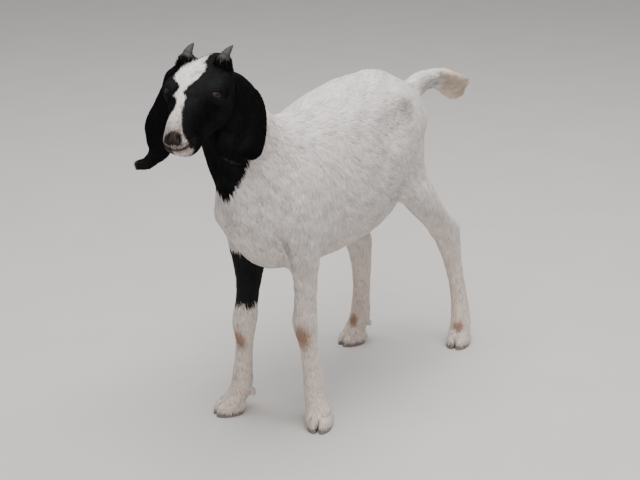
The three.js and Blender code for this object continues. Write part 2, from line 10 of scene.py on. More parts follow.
import bmesh
import bpy
import numpy as np
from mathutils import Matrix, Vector


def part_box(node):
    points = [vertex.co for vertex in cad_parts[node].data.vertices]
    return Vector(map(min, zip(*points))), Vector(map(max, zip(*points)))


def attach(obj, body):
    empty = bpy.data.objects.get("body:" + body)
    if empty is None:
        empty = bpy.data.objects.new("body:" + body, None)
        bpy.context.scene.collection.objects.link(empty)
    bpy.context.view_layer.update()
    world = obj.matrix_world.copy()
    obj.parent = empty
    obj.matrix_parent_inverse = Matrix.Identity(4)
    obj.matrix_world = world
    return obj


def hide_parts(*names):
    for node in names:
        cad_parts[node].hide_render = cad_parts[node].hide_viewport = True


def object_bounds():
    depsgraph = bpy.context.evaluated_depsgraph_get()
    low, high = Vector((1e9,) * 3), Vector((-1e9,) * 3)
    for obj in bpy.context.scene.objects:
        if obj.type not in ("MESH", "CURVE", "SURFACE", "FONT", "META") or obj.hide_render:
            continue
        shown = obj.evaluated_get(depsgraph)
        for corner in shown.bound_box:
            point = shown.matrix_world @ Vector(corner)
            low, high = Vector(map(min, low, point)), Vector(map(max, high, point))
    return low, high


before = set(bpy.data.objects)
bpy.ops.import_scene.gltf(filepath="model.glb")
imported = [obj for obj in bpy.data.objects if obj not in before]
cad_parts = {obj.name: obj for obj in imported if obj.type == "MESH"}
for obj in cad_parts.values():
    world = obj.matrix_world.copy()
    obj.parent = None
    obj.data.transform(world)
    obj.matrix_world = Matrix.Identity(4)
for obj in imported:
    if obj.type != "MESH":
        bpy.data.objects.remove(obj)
cad_box = [list(corner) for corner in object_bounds()]
print("the solids reach from", cad_box[0], "to", cad_box[1])

# %% [markdown]
# ## Frames and curves
#
# An animal is easiest to describe part by part: a head has its own front, top and side, and so has a
# neck or a tail. A `Place` is such a frame. A row of stations along it says how tall and wide the
# part is, and a smooth curve through the rows fills the space between them.

# %% Frames and curves
MM = 0.001
LEFT, RIGHT = 1, -1
SIDES = {"left": LEFT, "right": RIGHT}


def unit(vectors):
    """Each vector divided by its length."""
    vectors = np.asarray(vectors, float)
    return vectors / np.maximum(np.linalg.norm(vectors, axis=-1, keepdims=True), 1e-12)


def ramp(low, high, value):
    """0 up to low, 1 from high, and a smooth S between: 3 t squared minus 2 t cubed."""
    t = np.clip((value - low) / (high - low), 0, 1)
    return t * t * (3 - 2 * t)


def bell(value, width):
    """A smooth hump, 1 at 0 and about a third at width: e to the minus (value / width) squared."""
    return np.exp(-((value / width) ** 2))


class Place:
    """A point with three directions at right angles: along, up and left."""

    def __init__(self, origin, along, left):
        self.origin = np.array(origin, float)
        self.along = unit(along)
        self.left = unit(left)
        self.up = unit(np.cross(self.along, self.left))
        self.axes = np.stack([self.along, self.up, self.left])

    def into(self, points):
        """Points of the plan as [along, up, left] in this frame."""
        return (points - self.origin) @ self.axes.T

    def out(self, places):
        """[along, up, left] in this frame as points of the plan."""
        return self.origin + np.asarray(places, float) @ self.axes


def curve_through(rows):
    """A cubic through rows of [station, values], whose slope at a row is that between its neighbours."""
    rows = np.array(rows, float)
    station, value = rows[:, 0], rows[:, 1:]
    before = np.maximum(np.arange(len(rows)) - 1, 0)
    after = np.minimum(np.arange(len(rows)) + 1, len(rows) - 1)
    slope = (value[after] - value[before]) / (station[after] - station[before])[:, None]

    def at(s):
        s = np.asarray(s, float)
        i = np.clip(np.searchsorted(station, s) - 1, 0, len(rows) - 2)
        gap = station[i + 1] - station[i]
        t = np.clip((s - station[i]) / gap, 0, 1)[..., None]
        rise = t * t * (3 - 2 * t)
        leave = t * (1 - t) ** 2 * gap[..., None]
        arrive = -t * t * (1 - t) * gap[..., None]
        return value[i] + (value[i + 1] - value[i]) * rise + slope[i] * leave + slope[i + 1] * arrive

    return at


def line_through(points, t, closed=False):
    """A centripetal Catmull-Rom curve: each piece is a cubic whose end slopes weigh its neighbours by
    the square roots of their distances. t runs from 0 to 1 over all of them."""
    points = np.array(points, float)
    t = np.asarray(t, float)
    if closed:
        points = np.concatenate([points[-1:], points, points[:2]])
    else:
        first, last = 2 * points[0] - points[1], 2 * points[-1] - points[-2]
        points = np.concatenate([first[None], points, last[None]])
    pieces = len(points) - 3
    i = np.minimum((t * pieces).astype(int), pieces - 1)
    u = (t * pieces - i)[:, None]
    a, b, c, d = (points[i + k] for k in range(4))
    gaps = [np.sqrt(np.linalg.norm(q - p, axis=-1, keepdims=True)) for p, q in ((a, b), (b, c), (c, d))]
    leave = (b - a) / gaps[0] - (c - a) / (gaps[0] + gaps[1]) + (c - b) / gaps[1]
    arrive = (c - b) / gaps[1] - (d - b) / (gaps[1] + gaps[2]) + (d - c) / gaps[2]
    leave, arrive = leave * gaps[1], arrive * gaps[1]
    square, cube = u * u, u * u * u
    turn = (-3 * b + 3 * c - 2 * leave - arrive) * square
    return b + leave * u + turn + (2 * b - 2 * c + leave + arrive) * cube


print("a ramp from 0 to 10 is", ramp(0, 10, np.array([0, 2.5, 5, 10])))

# %% [markdown]
# ## Flesh as a field
#
# The body is one soft form, so it is worked out as a field: a number at every point of space that is
# negative inside the flesh, and about the distance from its surface outside. Rows of ovals give the
# trunk, neck, head, legs and tail, and eggs give the bones and muscles that stand out. `melt` runs
# two of them into each other with a fillet, which is why no seam shows where a leg meets the trunk.

# %% Ovals, eggs and fillets
REACH = 60  # how far outside a form its field still matters


class Form:
    """A distance field with the box that it matters in, and the fillet that joins it to the rest."""

    def __init__(self, distance, reach, fillet, cuts=False):
        self.distance = distance
        self.low = np.min(reach, axis=0) - REACH
        self.high = np.max(reach, axis=0) + REACH
        self.fillet = fillet
        self.cuts = cuts


def oval_row(place, rows, fillet, power=2.0):
    """Ovals along a frame: [station, top, bottom, half width, height of the widest place, side]. A
    point's distance is its distance from the oval's middle times 1 - 1 / r, where r is the power mean
    of its height and width as shares of the oval's."""
    rows = np.array([list(row) + [0] * (6 - len(row)) for row in rows], float)
    at = curve_through(rows)
    first, last = rows[0, 0], rows[-1, 0]

    def distance(points):
        s, up, left = place.into(points).T
        top, bottom, half, widest, side = at(np.clip(s, first, last)).T
        v, w = up - widest, left - side
        reach = np.where(v > 0, top - widest, widest - bottom)
        r = (np.abs(v / reach) ** power + np.abs(w / half) ** power) ** (1 / power)
        off_middle = np.hypot(v, w) * (1 - 1 / np.maximum(r, 1e-6))
        across = np.where(r < 1e-6, -np.minimum(reach, half), off_middle)
        past = np.maximum(first - s, s - last)
        both = (across > 0) & (past > 0)
        return np.where(both, np.hypot(across, past), np.maximum(across, past))

    s, top, bottom, half, widest, side = rows.T
    rim = [(s, top, side), (s, bottom, side), (s, widest, side + half), (s, widest, side - half)]
    return Form(distance, np.concatenate([place.out(np.stack(edge, -1)) for edge in rim]), fillet)


def egg(place, centre, size, fillet, cuts=False):
    """An ellipsoid: r (r - 1) / g, with r the length of the point as shares of the half sizes and g
    that of the same shares divided by the half sizes once more."""
    middle, size = place.out(centre), np.array(size, float)

    def distance(points):
        shares = (points - middle) @ place.axes.T / size
        r = np.linalg.norm(shares, axis=-1)
        g = np.linalg.norm(shares / size, axis=-1)
        return np.where(g < 1e-9, -size.min(), r * (r - 1) / np.maximum(g, 1e-9))

    return Form(distance, [middle - size.max(), middle + size.max()], fillet, cuts)


def melt(a, b, soft):
    """The lesser of a and b, less h squared times soft / 4, where h is 1 - |a - b| / soft."""
    h = np.maximum(soft - np.abs(a - b), 0) / soft
    return np.minimum(a, b) - h * h * soft / 4


FAR = 90.0  # the field's value where nothing is near


def field_of(forms, points, start=None):
    """Runs the forms into each other, each one only for the points inside its box."""
    value = np.full(len(points), FAR) if start is None else start.copy()
    for form in forms:
        near = np.all((points > form.low) & (points < form.high), axis=1)
        d = form.distance(points[near])
        if form.cuts:
            value[near] = -melt(-value[near], d, form.fillet)
        else:
            value[near] = melt(value[near], d, form.fillet)
    return value


# %% [markdown]
# ## The plan of the goat
#
# The stations follow the skeleton: withers, croup, knee, hock and fetlock are where the outline
# turns. The left hind leg is stretched back and the right one stands under the belly.

# %% Driving sizes, trunk, neck and head
WITHERS, CROUP = 478, 510
KNEE, HOCK, FETLOCK, CORONET = 162, 196, 50, 15
HEAD_LENGTH, EAR_LENGTH, EAR_THICK = 152, 150, 6.4
HORN_LENGTH, HORN_RADIUS = 40, 12
TAIL_ROOT, TAIL_LENGTH = -170, 184
FILLET = {"neck": 46, "flank": 24, "swell": 22, "leg": 20, "head": 16, "tail": 12, "face": 10, "chin": 8}

FLOOR = Place([0, 0, 0], [1, 0, 0], [0, 1, 0])
trunk_row = oval_row(
    FLOOR,
    [
        [-203, 434, 396, 10, 412],
        [-188, 455, 356, 26, 405],
        [-165, 473, 320, 40, 400],
        [-120, 497, 300, 64, 396],
        [-66, CROUP, 280, 82, 388],
        [-20, 513, 263, 94, 372],
        [30, 507, 256, 99, 362],
        [80, 497, 251, 94, 360],
        [120, 487, 250, 84, 360],
        [160, WITHERS, 253, 73, 362],
        [200, 462, 262, 62, 364],
        [238, 436, 297, 49, 364],
        [268, 408, 332, 32, 362],
        [287, 382, 350, 18, 364],
    ],
    FILLET["neck"],
    power=2.1,
)

NECK = Place([175, 0, 400], [130, 10, 150], [-10, 130, 0])
neck_row = oval_row(
    NECK,
    [
        [-20, 74, -104, 52, 0],
        [30, 62, -98, 48, 0],
        [75, 52, -95, 41, 0],
        [120, 46, -86, 36, 0],
        [160, 35, -73, 31, 0],
        [200, 16, -54, 23, 0],
    ],
    FILLET["neck"],
)

HEAD_TURN, HEAD_DIP = np.radians(21), np.radians(31.5)
POLL = [331, 10, 607]
HEAD_LEFT = [-np.sin(HEAD_TURN), np.cos(HEAD_TURN), 0]
LEVEL_AHEAD = np.array([np.cos(HEAD_TURN), np.sin(HEAD_TURN), 0])
HEAD = Place(POLL, LEVEL_AHEAD * np.cos(HEAD_DIP) - np.array([0, 0, np.sin(HEAD_DIP)]), HEAD_LEFT)
FACING = Place(POLL, LEVEL_AHEAD, HEAD_LEFT)
skull_row = oval_row(
    HEAD,
    [
        [-42, -32, -62, 12, -45],
        [-25, -20, -76, 24, -42],
        [0, -9, -88, 34, -33],
        [25, 1, -92, 42.5, -23],
        [50, 7, -86, 41, -22],
        [72, 8, -75, 35, -27],
        [90, 6, -68, 29, -28],
        [108, 4, -63, 24.5, -29],
        [124, 0, -55, 22, -26],
        [137, -5, -48, 20, -23],
        [146, -10, -38, 16, -22],
        [HEAD_LENGTH, -17, -29, 8, -22],
    ],
    FILLET["face"],
    power=2.2,
)
TRUNK_MIDDLE = [0, 0, 380]
print("the trunk's middle lies", round(-trunk_row.distance(np.array([TRUNK_MIDDLE]))[0]), "mm deep")

# %% Legs and tail
UPRIGHT = Place([0, 0, 0], [0, 0, 1], [0, 1, 0])


def leg(rows):
    """Ovals up a leg, from rows of [height, x, y, half length, half width]."""
    turned = [[z, -x + long, -x - long, wide, -x, y] for z, x, y, long, wide in rows]
    return oval_row(UPRIGHT, turned, FILLET["leg"])


legs = {
    "fore_left": leg([
        [4, 159, 71, 23, 20],
        [CORONET + 3, 156, 67, 23, 19.5],
        [32, 151, 61, 21, 18.5],
        [FETLOCK, 148, 54, 20, 16.5],
        [82, 150, 50, 16.5, 14.5],
        [110, 152, 47, 14.5, 13.5],
        [136, 154, 44, 16, 14.5],
        [KNEE - 4, 156, 42, 20.5, 18],
        [KNEE + 14, 157, 41, 21, 19],
        [198, 158, 43, 19.5, 17],
        [225, 161, 46, 21, 16.5],
        [252, 167, 50, 23.5, 18],
        [285, 175, 54, 32, 21],
        [325, 178, 55, 44, 24],
        [372, 183, 52, 45, 24],
        [420, 180, 44, 38, 19],
        [452, 174, 32, 24, 12],
    ]),
    "fore_right": leg([
        [4, 203, -75, 23, 20],
        [CORONET + 3, 199, -72, 23, 19.5],
        [32, 191, -67, 21, 18.5],
        [FETLOCK, 186, -63, 20, 16.5],
        [82, 189, -57, 16.5, 14.5],
        [110, 193, -51, 14.5, 13.5],
        [136, 197, -46, 16, 14.5],
        [KNEE - 4, 200, -43, 20.5, 18],
        [KNEE + 14, 199, -42, 21, 19],
        [198, 193, -43, 19.5, 17],
        [225, 186, -45, 22.5, 18.5],
        [252, 180, -48, 29, 21.5],
        [285, 178, -54, 36, 21],
        [325, 178, -55, 44, 24],
        [372, 183, -52, 45, 24],
        [420, 180, -44, 38, 19],
        [452, 174, -32, 24, 12],
    ]),
    "hind_left": leg([
        [4, -236, 76, 22, 19.5],
        [CORONET + 3, -239, 76, 22, 19],
        [32, -245, 74, 20.5, 18],
        [FETLOCK, -250, 71, 19.5, 16.5],
        [85, -252, 65, 16, 14.5],
        [118, -250, 59, 16, 14],
        [152, -244, 54, 19.5, 15],
        [178, -237, 52, 26, 16.5],
        [HOCK + 6, -227, 52, 33, 17.5],
        [HOCK + 18, -219, 53, 40, 17],
        [231, -202, 54, 38, 17.5],
        [252, -177, 55, 37, 20],
        [280, -144, 58, 39, 24],
        [312, -117, 55, 44, 27],
        [345, -99, 49, 45, 27],
        [390, -95, 42, 43, 26],
        [430, -98, 37, 40, 24],
        [460, -98, 28, 32, 16],
    ]),
    "hind_right": leg([
        [4, -132, -79, 22, 19.5],
        [CORONET + 3, -134, -78, 22, 19],
        [32, -141, -76, 21, 18.5],
        [FETLOCK, -147, -73, 20.5, 17.5],
        [85, -141, -67, 17, 15.5],
        [118, -134, -61, 17, 15],
        [152, -127, -57, 20, 16],
        [178, -121, -55, 25, 17],
        [HOCK + 6, -114, -54, 31, 18],
        [HOCK + 18, -106, -54, 34, 18],
        [231, -92, -55, 32, 18.5],
        [252, -78, -57, 34, 21],
        [280, -66, -58, 37, 24],
        [312, -70, -56, 43, 27],
        [345, -80, -49, 45, 27],
        [390, -90, -42, 43, 26],
        [430, -95, -37, 40, 24],
        [460, -97, -28, 32, 16],
    ]),
}

TAIL = Place([TAIL_ROOT, 0, 0], [-1, 0, 0], [0, -1, 0])
tail_row = oval_row(
    TAIL,
    [
        [-26, 468, 424, 18, 446],
        [4, 478, 432, 17, 454],
        [28, 485, 441, 16, 464],
        [56, 487, 450, 16, 470],
        [86, 484, 446, 16, 466],
        [116, 478, 428, 17, 456],
        [144, 466, 414, 16, 442],
        [170, 454, 420, 11, 436],
        [TAIL_LENGTH, 444, 430, 5, 437],
    ],
    FILLET["tail"],
)
print("legs:", *legs, "and a tail of", TAIL_LENGTH, "mm")

# %% Bones and muscles that stand out
body_swells = [
    egg(FLOOR, [160, 438, 0], [54, 42, 20], FILLET["swell"]),  # withers
    egg(FLOOR, [202, 298, 0], [34, 24, 22], FILLET["swell"]),  # brisket
    egg(FLOOR, [-66, 490, 0], [34, 22, 16], FILLET["swell"]),  # top of the croup
]
flanks = []
face_swells = []
HORN_PLACE = np.array([6, -6, 26])  # on the left, in the head's frame
for side in (LEFT, RIGHT):
    body_swells += [
        egg(FLOOR, [220, 344, side * 36], [26, 28, 20], FILLET["swell"]),  # point of the shoulder
        egg(FLOOR, [-66, 474, side * 50], [22, 15, 18], FILLET["swell"]),  # hip bone
        egg(FLOOR, [-178, 414, side * 17], [14, 16, 12], FILLET["swell"]),  # pin bone
    ]
    flanks.append(egg(FLOOR, [-22, 452, side * 98], [40, 28, 20], FILLET["flank"], cuts=True))
    face_swells += [
        egg(HEAD, [52, -13, side * 31], [18, 13, 14], FILLET["face"]),  # brow
        egg(HEAD, [32, -56, side * 21], [34, 27, 14], FILLET["face"]),  # cheek
        egg(HEAD, [5, -13, side * HORN_PLACE[2]], [16, 14, 11], FILLET["face"]),  # horn stump
    ]
chin = egg(HEAD, [119, -45, 4], [19, 10, 16], FILLET["chin"])
head_forms = [skull_row, *face_swells, chin]
body_forms = [trunk_row, neck_row, *body_swells, *flanks, *legs.values(), tail_row]


def head_field(points):
    """The whole head, as one form to be melted onto the neck."""
    return field_of(head_forms, points)


head_room = Form(head_field, [skull_row.low, skull_row.high], FILLET["head"])


def solid_field(points):
    """The flesh with its coat, as the solids have it."""
    return field_of([head_room], points, field_of(body_forms, points))


print("the flesh is", len(body_forms) + len(head_forms), "forms run into each other")

# %% [markdown]
# ## From the plan to the frame
#
# The row's origin is under the middle of the animal, so the plan is shifted to it. An eye is a ball
# with a known centre in both, which gives the shift without any fitting.

# %% The shift
EYE_PLACE = np.array([60, -10, 29])
eye_low, eye_high = (np.array(corner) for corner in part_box("eye_left"))
SHIFT = (eye_low + eye_high) / 2 / MM - HEAD.out(EYE_PLACE)
SHIFT[1:] = 0
print("the plan lies", np.round(SHIFT, 2), "mm from the frame")

# %% [markdown]
# ## How deep the coat is
#
# The solids end at the tips of the coat, so the skin lies inside them: by a millimetre on the face and
# the feet, two or three on the body, and more in the tail, which is mostly hair.

# %% Coat depth
DEPTH = {"body": 2.6, "foot": 1.2, "face": 1.0, "tail": 5.0}


def head_share(points):
    """1 on the head and 0 behind it, over a band at the back of the jaw."""
    s, up, _ = HEAD.into(points).T
    return ramp(-38, 4, s) * ramp(-128, -100, up)


def coat_depth(points):
    """How far the skin lies under the coat's tips: a blend from part to part."""
    x, z = points[:, 0], points[:, 2]
    depth = DEPTH["foot"] + (DEPTH["body"] - DEPTH["foot"]) * ramp(150, 270, z)
    in_tail = ramp(TAIL_ROOT - 10, TAIL_ROOT - 50, x) * ramp(380, 410, z)
    depth += (DEPTH["tail"] - depth) * in_tail
    return depth + (DEPTH["face"] - depth) * head_share(points)


print("the coat is", coat_depth(np.array([[0.0, 0, CROUP]]))[0], "mm deep on the back")

# %% [markdown]
# ## The face in detail
#
# A goat's face has small hollows that short hair doesn't hide: comma-shaped nostrils, the mouth, a
# groove down the upper lip, and the opening between the lids. They are dents, added to the field as
# smooth humps, except for the eyes. There a ball of lid is melted onto the brow and an almond is cut
# through it, so that the lid has an edge with some thickness for the eyeball to sit behind.

# %% Eyes, lids, nostrils and mouth
EYEBALL = 11.2
LID = 1.3
EYE_LONG = 8.2  # half the length of the opening between the lids
EYE_UPPER, EYE_LOWER = 4.3, 3.9
GAZE, OUTER_CORNER = [0.52, 0.52, 0.68], [-0.30, -0.61, 0.74]  # of the left eye, in the head's frame
MUZZLE_MIDDLE = -2.5  # the nose turns a little to the right
DENT = {"mouth": 2.4, "nostril": 3.6, "philtrum": 0.9, "jaw": 0.9, "lid": 0.7, "toes": 5.0}
SWELL = {"lips": 0.7, "nostril": 0.9}


class Eye:
    """The centre of an eye and the directions out, along and across its opening."""

    def __init__(self, side):
        mirror = np.array([1, 1, side])
        self.centre = HEAD.out(EYE_PLACE * mirror)
        gaze = unit(GAZE * mirror)
        corner = OUTER_CORNER * mirror
        corner = unit(corner - gaze * (corner @ gaze)) @ HEAD.axes
        gaze = gaze @ HEAD.axes
        brow = np.cross(gaze, corner)
        self.axes = np.stack([corner, brow if brow[2] > 0 else -brow, gaze])

    def into(self, points):
        """Points as [towards the outer corner, towards the brow, out] from the eye's centre."""
        return (points - self.centre) @ self.axes.T

    def distance(self, points):
        """How far points are from the front of the eyeball."""
        return np.linalg.norm(self.into(points) - [0, 0, EYEBALL], axis=1)


eyes = {name: Eye(side) for name, side in SIDES.items()}


def almond(along, across):
    """Negative inside the opening: two parabolas, one for each lid, that meet at the corners."""
    arch = 1 - (along / EYE_LONG) ** 2
    return np.maximum(across - EYE_UPPER * arch, -across - EYE_LOWER * arch)


mouth_curve = curve_through([[100, -29], [112, -27], [125, -24], [140, -21], [154, -21]])


def over_mouth(s, up):
    """How far a point of the head is over the line between the lips."""
    return up - mouth_curve(s)[:, 0]


def nostrils(s, up, aside):
    """Two slanting hollows and the wings outside them, each a bell of the distance from its middle."""
    hollow, wing = 0, 0
    for side in (LEFT, RIGHT):
        across = side * aside - 7.5
        slot_s, slot_up = s - 141, up + 9.5
        slant = ((slot_s + 0.5 * slot_up) / 5) ** 2 + ((across - 0.35 * slot_s) / 2.7) ** 2
        hollow = hollow + np.exp(-slant - (slot_up / 5) ** 2)
        round_it = ((slot_s + 1) / 7) ** 2 + ((across - 4) / 2.5) ** 2 + ((slot_up + 1) / 6) ** 2
        wing = wing + np.exp(-round_it)
    return hollow, wing


def face_in_detail(points, value):
    """Adds the hollows of mouth, nostrils, philtrum and jaw to the field, and takes off the lips."""
    s, up, left = HEAD.into(points).T
    aside = left - MUZZLE_MIDDLE
    over = over_mouth(s, up)
    value = value + DENT["mouth"] * bell(over, 1.5) * ramp(108, 118, s)
    lips = bell(over - 4.5, 3) + 0.8 * bell(over + 5, 3.5)
    value -= SWELL["lips"] * lips * ramp(118, 134, s)
    hollow, wing = nostrils(s, up, aside)
    value += DENT["nostril"] * hollow - SWELL["nostril"] * wing
    value += DENT["philtrum"] * bell(aside, 1.1) * ramp(140, 147, s) * ramp(-23, -19, up)
    value += DENT["jaw"] * bell(up + 52 - 0.25 * (s - 60), 5) * bell(s - 78, 26)
    return value


def eye_in_detail(points, value):
    """Balls of lid on the brow, each with an almond cut through it down to the eyeball."""
    for eye in eyes.values():
        along, across, out = eye.into(points).T
        radius = np.sqrt(along**2 + across**2 + out**2)
        value = melt(value, radius - (EYEBALL + LID), 5)
        crease = bell(radius * np.arctan2(across, np.maximum(out, 1)) - 8.6 + 0.04 * along**2, 1.1)
        value += DENT["lid"] * crease * (out > 0) * bell(along, 9)
        cut = np.maximum.reduce([almond(along, across) * 0.8, EYEBALL - 1.4 - radius, -out])
        value = -melt(-value, cut, 0.9)
    return value


print("the eyes are", round(np.linalg.norm(eyes["left"].centre - eyes["right"].centre)), "mm apart")

# %% [markdown]
# ## Feet in detail
#
# Each foot is cloven: the skin dips between the two toes up to the pastern, and ends at the coronet, a
# plane that rises towards the toe, where the hooves come out.

# %% Feet
feet = {
    "fore_left": {"place": [158, 70], "pastern": [149, 57], "turn": 28},
    "fore_right": {"place": [204, -75], "pastern": [188, -65], "turn": -25},
    "hind_left": {"place": [-236, 76], "pastern": [-248, 72], "turn": 16},
    "hind_right": {"place": [-131, -79], "pastern": [-144, -75], "turn": -14},
}
CORONET_RISE = 0.26
FOOT_REACH = 45


def foot_place(foot, at="place"):
    """The frame of a foot: towards the toe, up, and to its left."""
    turn = np.radians(foot["turn"])
    ahead = np.array([np.cos(turn), np.sin(turn), 0])
    return Place([*foot[at], 0], ahead, [-ahead[1], ahead[0], 0])


def by_coronet(foot, points):
    """How far points are over the coronet's plane, and whether they are near the foot."""
    ahead, up, aside = foot_place(foot).into(points).T
    over = (up - CORONET - CORONET_RISE * ahead) / np.hypot(1, CORONET_RISE)
    return over, np.hypot(ahead, aside) < FOOT_REACH


def feet_in_detail(points, value):
    """Dents between the toes, which lean towards the pastern, and the cut at the coronet."""
    z = points[:, 2]
    for foot in feet.values():
        low, high = foot_place(foot), foot_place(foot, "pastern")
        aside = low.into(points)[:, 2]
        over, near = by_coronet(foot, points)
        shift = (low.origin - high.origin) @ low.left
        middle = -shift * ramp(8, FETLOCK, z)
        split = bell(aside - middle, 2.0) * ramp(44, 20, z)
        value = value + np.where(near, DENT["toes"] * split, 0)
        value = np.where(near & (z < 60), -melt(-value, over, 1.5), value)
    return value


def skin_field(points):
    """The flesh under the coat, with the hollows of face and feet."""
    value = solid_field(points) + coat_depth(points)
    near_head = np.all((points > head_room.low) & (points < head_room.high), axis=1)
    face = points[near_head]
    value[near_head] = eye_in_detail(face, face_in_detail(face, value[near_head]))
    low = points[:, 2] < 80
    value[low] = feet_in_detail(points[low], value[low])
    return value


def slope_of(field, points, reach=0.3):
    """The field's slope: half the difference across a small step, along each axis."""
    steps = np.eye(3) * reach
    return np.stack([(field(points + step) - field(points - step)) / (2 * reach) for step in steps], -1)


def pull_onto(field, points, rounds, furthest):
    """Moves points along the field's slope until it is 0: each step is the value over the slope."""
    for _ in range(rounds):
        slope = slope_of(field, points)
        step = slope * (field(points) / np.maximum((slope**2).sum(-1), 0.3))[:, None]
        length = np.linalg.norm(step, axis=-1, keepdims=True)
        points = points - step * np.minimum(1, furthest / np.maximum(length, 1e-9))
    return points


print("the toes turn", [foot["turn"] for foot in feet.values()], "degrees to the left")

# %% [markdown]
# ## The field's surface
#
# A grid of cells is laid over the body. Each cell that the surface passes through gets one vertex, at
# the mean of the places where it crosses the cell's edges, and each crossed edge of the grid gets a
# face between its four cells. That is called a surface net. Its faces are even, so hair can be
# planted on it, and every vertex is pulled onto the true surface at the end.

# %% Surface net
CORNERS = np.array([[n & 1, n >> 1 & 1, n >> 2 & 1] for n in range(8)])
EDGES = [(m, n) for m in range(8) for n in range(m) if abs(CORNERS[m] - CORNERS[n]).sum() == 1]
RING = np.array([[0, 0], [1, 0], [1, 1], [0, 1]])


def surface_net(field, low, high, step):
    """Vertices and four-sided faces of the surface where the field is 0, inside a box."""
    counts = np.ceil((np.array(high) - low) / step).astype(int) + 1
    axes = [low[n] + step * np.arange(counts[n]) for n in range(3)]
    values = np.stack([
        field(np.stack(np.meshgrid([x], axes[1], axes[2], indexing="ij"), -1).reshape(-1, 3))
        for x in axes[0]
    ]).reshape(counts)
    cells = counts - 1
    corner = [values[a : a + cells[0], b : b + cells[1], c : c + cells[2]] for a, b, c in CORNERS]
    inner = sum((value < 0).astype(int) for value in corner)
    crossed = (inner > 0) & (inner < 8)
    number = np.full(cells, -1)
    number[crossed] = np.arange(crossed.sum())
    at = np.argwhere(crossed)
    value = np.stack([c[crossed] for c in corner], -1)
    total, count = np.zeros((len(at), 3)), np.zeros(len(at))
    for m, n in EDGES:
        cross = (value[:, m] < 0) != (value[:, n] < 0)
        t = value[cross, m] / (value[cross, m] - value[cross, n])
        total[cross] += CORNERS[m] + (CORNERS[n] - CORNERS[m]) * t[:, None]
        count[cross] += 1
    vertices = low + step * (at + total / count[:, None])

    faces = []
    for axis in range(3):
        along = np.eye(3, dtype=int)[axis]
        u, w = np.eye(3, dtype=int)[(axis + 1) % 3], np.eye(3, dtype=int)[(axis + 2) % 3]
        here = values[1:-1, 1:-1, 1:-1] < 0
        shape = here.shape
        there = values[
            1 + along[0] : 1 + along[0] + shape[0],
            1 + along[1] : 1 + along[1] + shape[1],
            1 + along[2] : 1 + along[2] + shape[2],
        ] < 0
        edge = np.argwhere(here != there) + 1
        ring = np.stack([number[tuple((edge - a * u - b * w).T)] for a, b in RING], -1)
        starts_inside = here[tuple((edge - 1).T)]
        faces.append(np.where(starts_inside[:, None], ring, ring[:, ::-1]))
    return vertices, np.concatenate(faces)


NET_STEP = 4.1  # millimetres
margin = 3 * NET_STEP
low = np.array(cad_box[0]) / MM - SHIFT - margin
high = np.array(cad_box[1]) / MM - SHIFT + margin
net_points, net_faces = surface_net(skin_field, low, high, NET_STEP)
print("the net has", len(net_points), "vertices and", len(net_faces), "faces")

# %% [markdown]
# ## Meshes from arrays
#
# Every piece goes into Blender the same way: an array of places in the plan, in millimetres, and an
# array of faces. `foreach_set` copies a whole array at once.

# %% Making an object
def coordinates(points):
    """Places in the plan as the flat list of metres in the frame that Blender takes."""
    return ((points + SHIFT) * MM).astype(np.float32).ravel()


def new_object(name, points, faces):
    """A smooth mesh object from places in the plan and faces of one size; it rides on the body."""
    mesh = bpy.data.meshes.new(name)
    mesh.vertices.add(len(points))
    mesh.vertices.foreach_set("co", coordinates(points))
    mesh.loops.add(faces.size)
    mesh.loops.foreach_set("vertex_index", faces.astype(np.int32).ravel())
    mesh.polygons.add(len(faces))
    mesh.polygons.foreach_set("loop_start", np.arange(len(faces), dtype=np.int32) * faces.shape[1])
    mesh.update(calc_edges=True)
    mesh.shade_smooth()
    piece = bpy.data.objects.new(name, mesh)
    bpy.context.scene.collection.objects.link(piece)
    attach(piece, "root")
    return piece


def places_of(mesh):
    """A mesh's vertices as places in the plan."""
    co = np.empty(len(mesh.vertices) * 3, np.float32)
    mesh.vertices.foreach_get("co", co)
    return co.reshape(-1, 3).astype(float) / MM - SHIFT


def store(mesh, name, values):
    """Keeps one number, or one colour, for each vertex."""
    if values.ndim == 1:
        mesh.attributes.new(name, "FLOAT", "POINT").data.foreach_set("value", values.astype(np.float32))
    else:
        rgba = np.concatenate([values, np.ones((len(values), 1))], 1).astype(np.float32)
        mesh.color_attributes.new(name, "FLOAT_COLOR", "POINT").data.foreach_set("color", rgba.ravel())


print("a place 1 mm from the plan's origin is at", coordinates(np.eye(3))[:3], "m")

# %% [markdown]
# ## Finer where the face needs it
#
# A net fine enough for an eyelid would be wasteful on a flank. So the head's faces are cut in four,
# and those round the eyes and on the muzzle once more, and then all vertices settle on the field.

# %% The skin
skin = new_object("skin", net_points, net_faces)


def refine(mesh, chosen):
    """Cuts the edges whose two ends are chosen, and the faces between them."""
    bm = bmesh.new()
    bm.from_mesh(mesh)
    bm.verts.ensure_lookup_table()
    marks = chosen(places_of(mesh))
    edges = [e for e in bm.edges if marks[e.verts[0].index] and marks[e.verts[1].index]]
    bmesh.ops.subdivide_edges(bm, edges=edges, cuts=1, use_grid_fill=True)
    bmesh.ops.triangulate(bm, faces=[f for f in bm.faces if len(f.verts) > 4])
    bm.to_mesh(mesh)
    bm.free()


def on_face(points):
    """The head in front of the ears."""
    s, up, _ = HEAD.into(points).T
    return (s > -15) & (up > -98)


def nose_and_eyes(front, low, reach):
    """A choice of the head before one station and over one height, and a disc round each eye."""

    def chosen(points):
        s, up, _ = HEAD.into(points).T
        near_eye = [eye.distance(points) < reach for eye in eyes.values()]
        return ((s > front) & (up > low)) | near_eye[0] | near_eye[1]

    return chosen


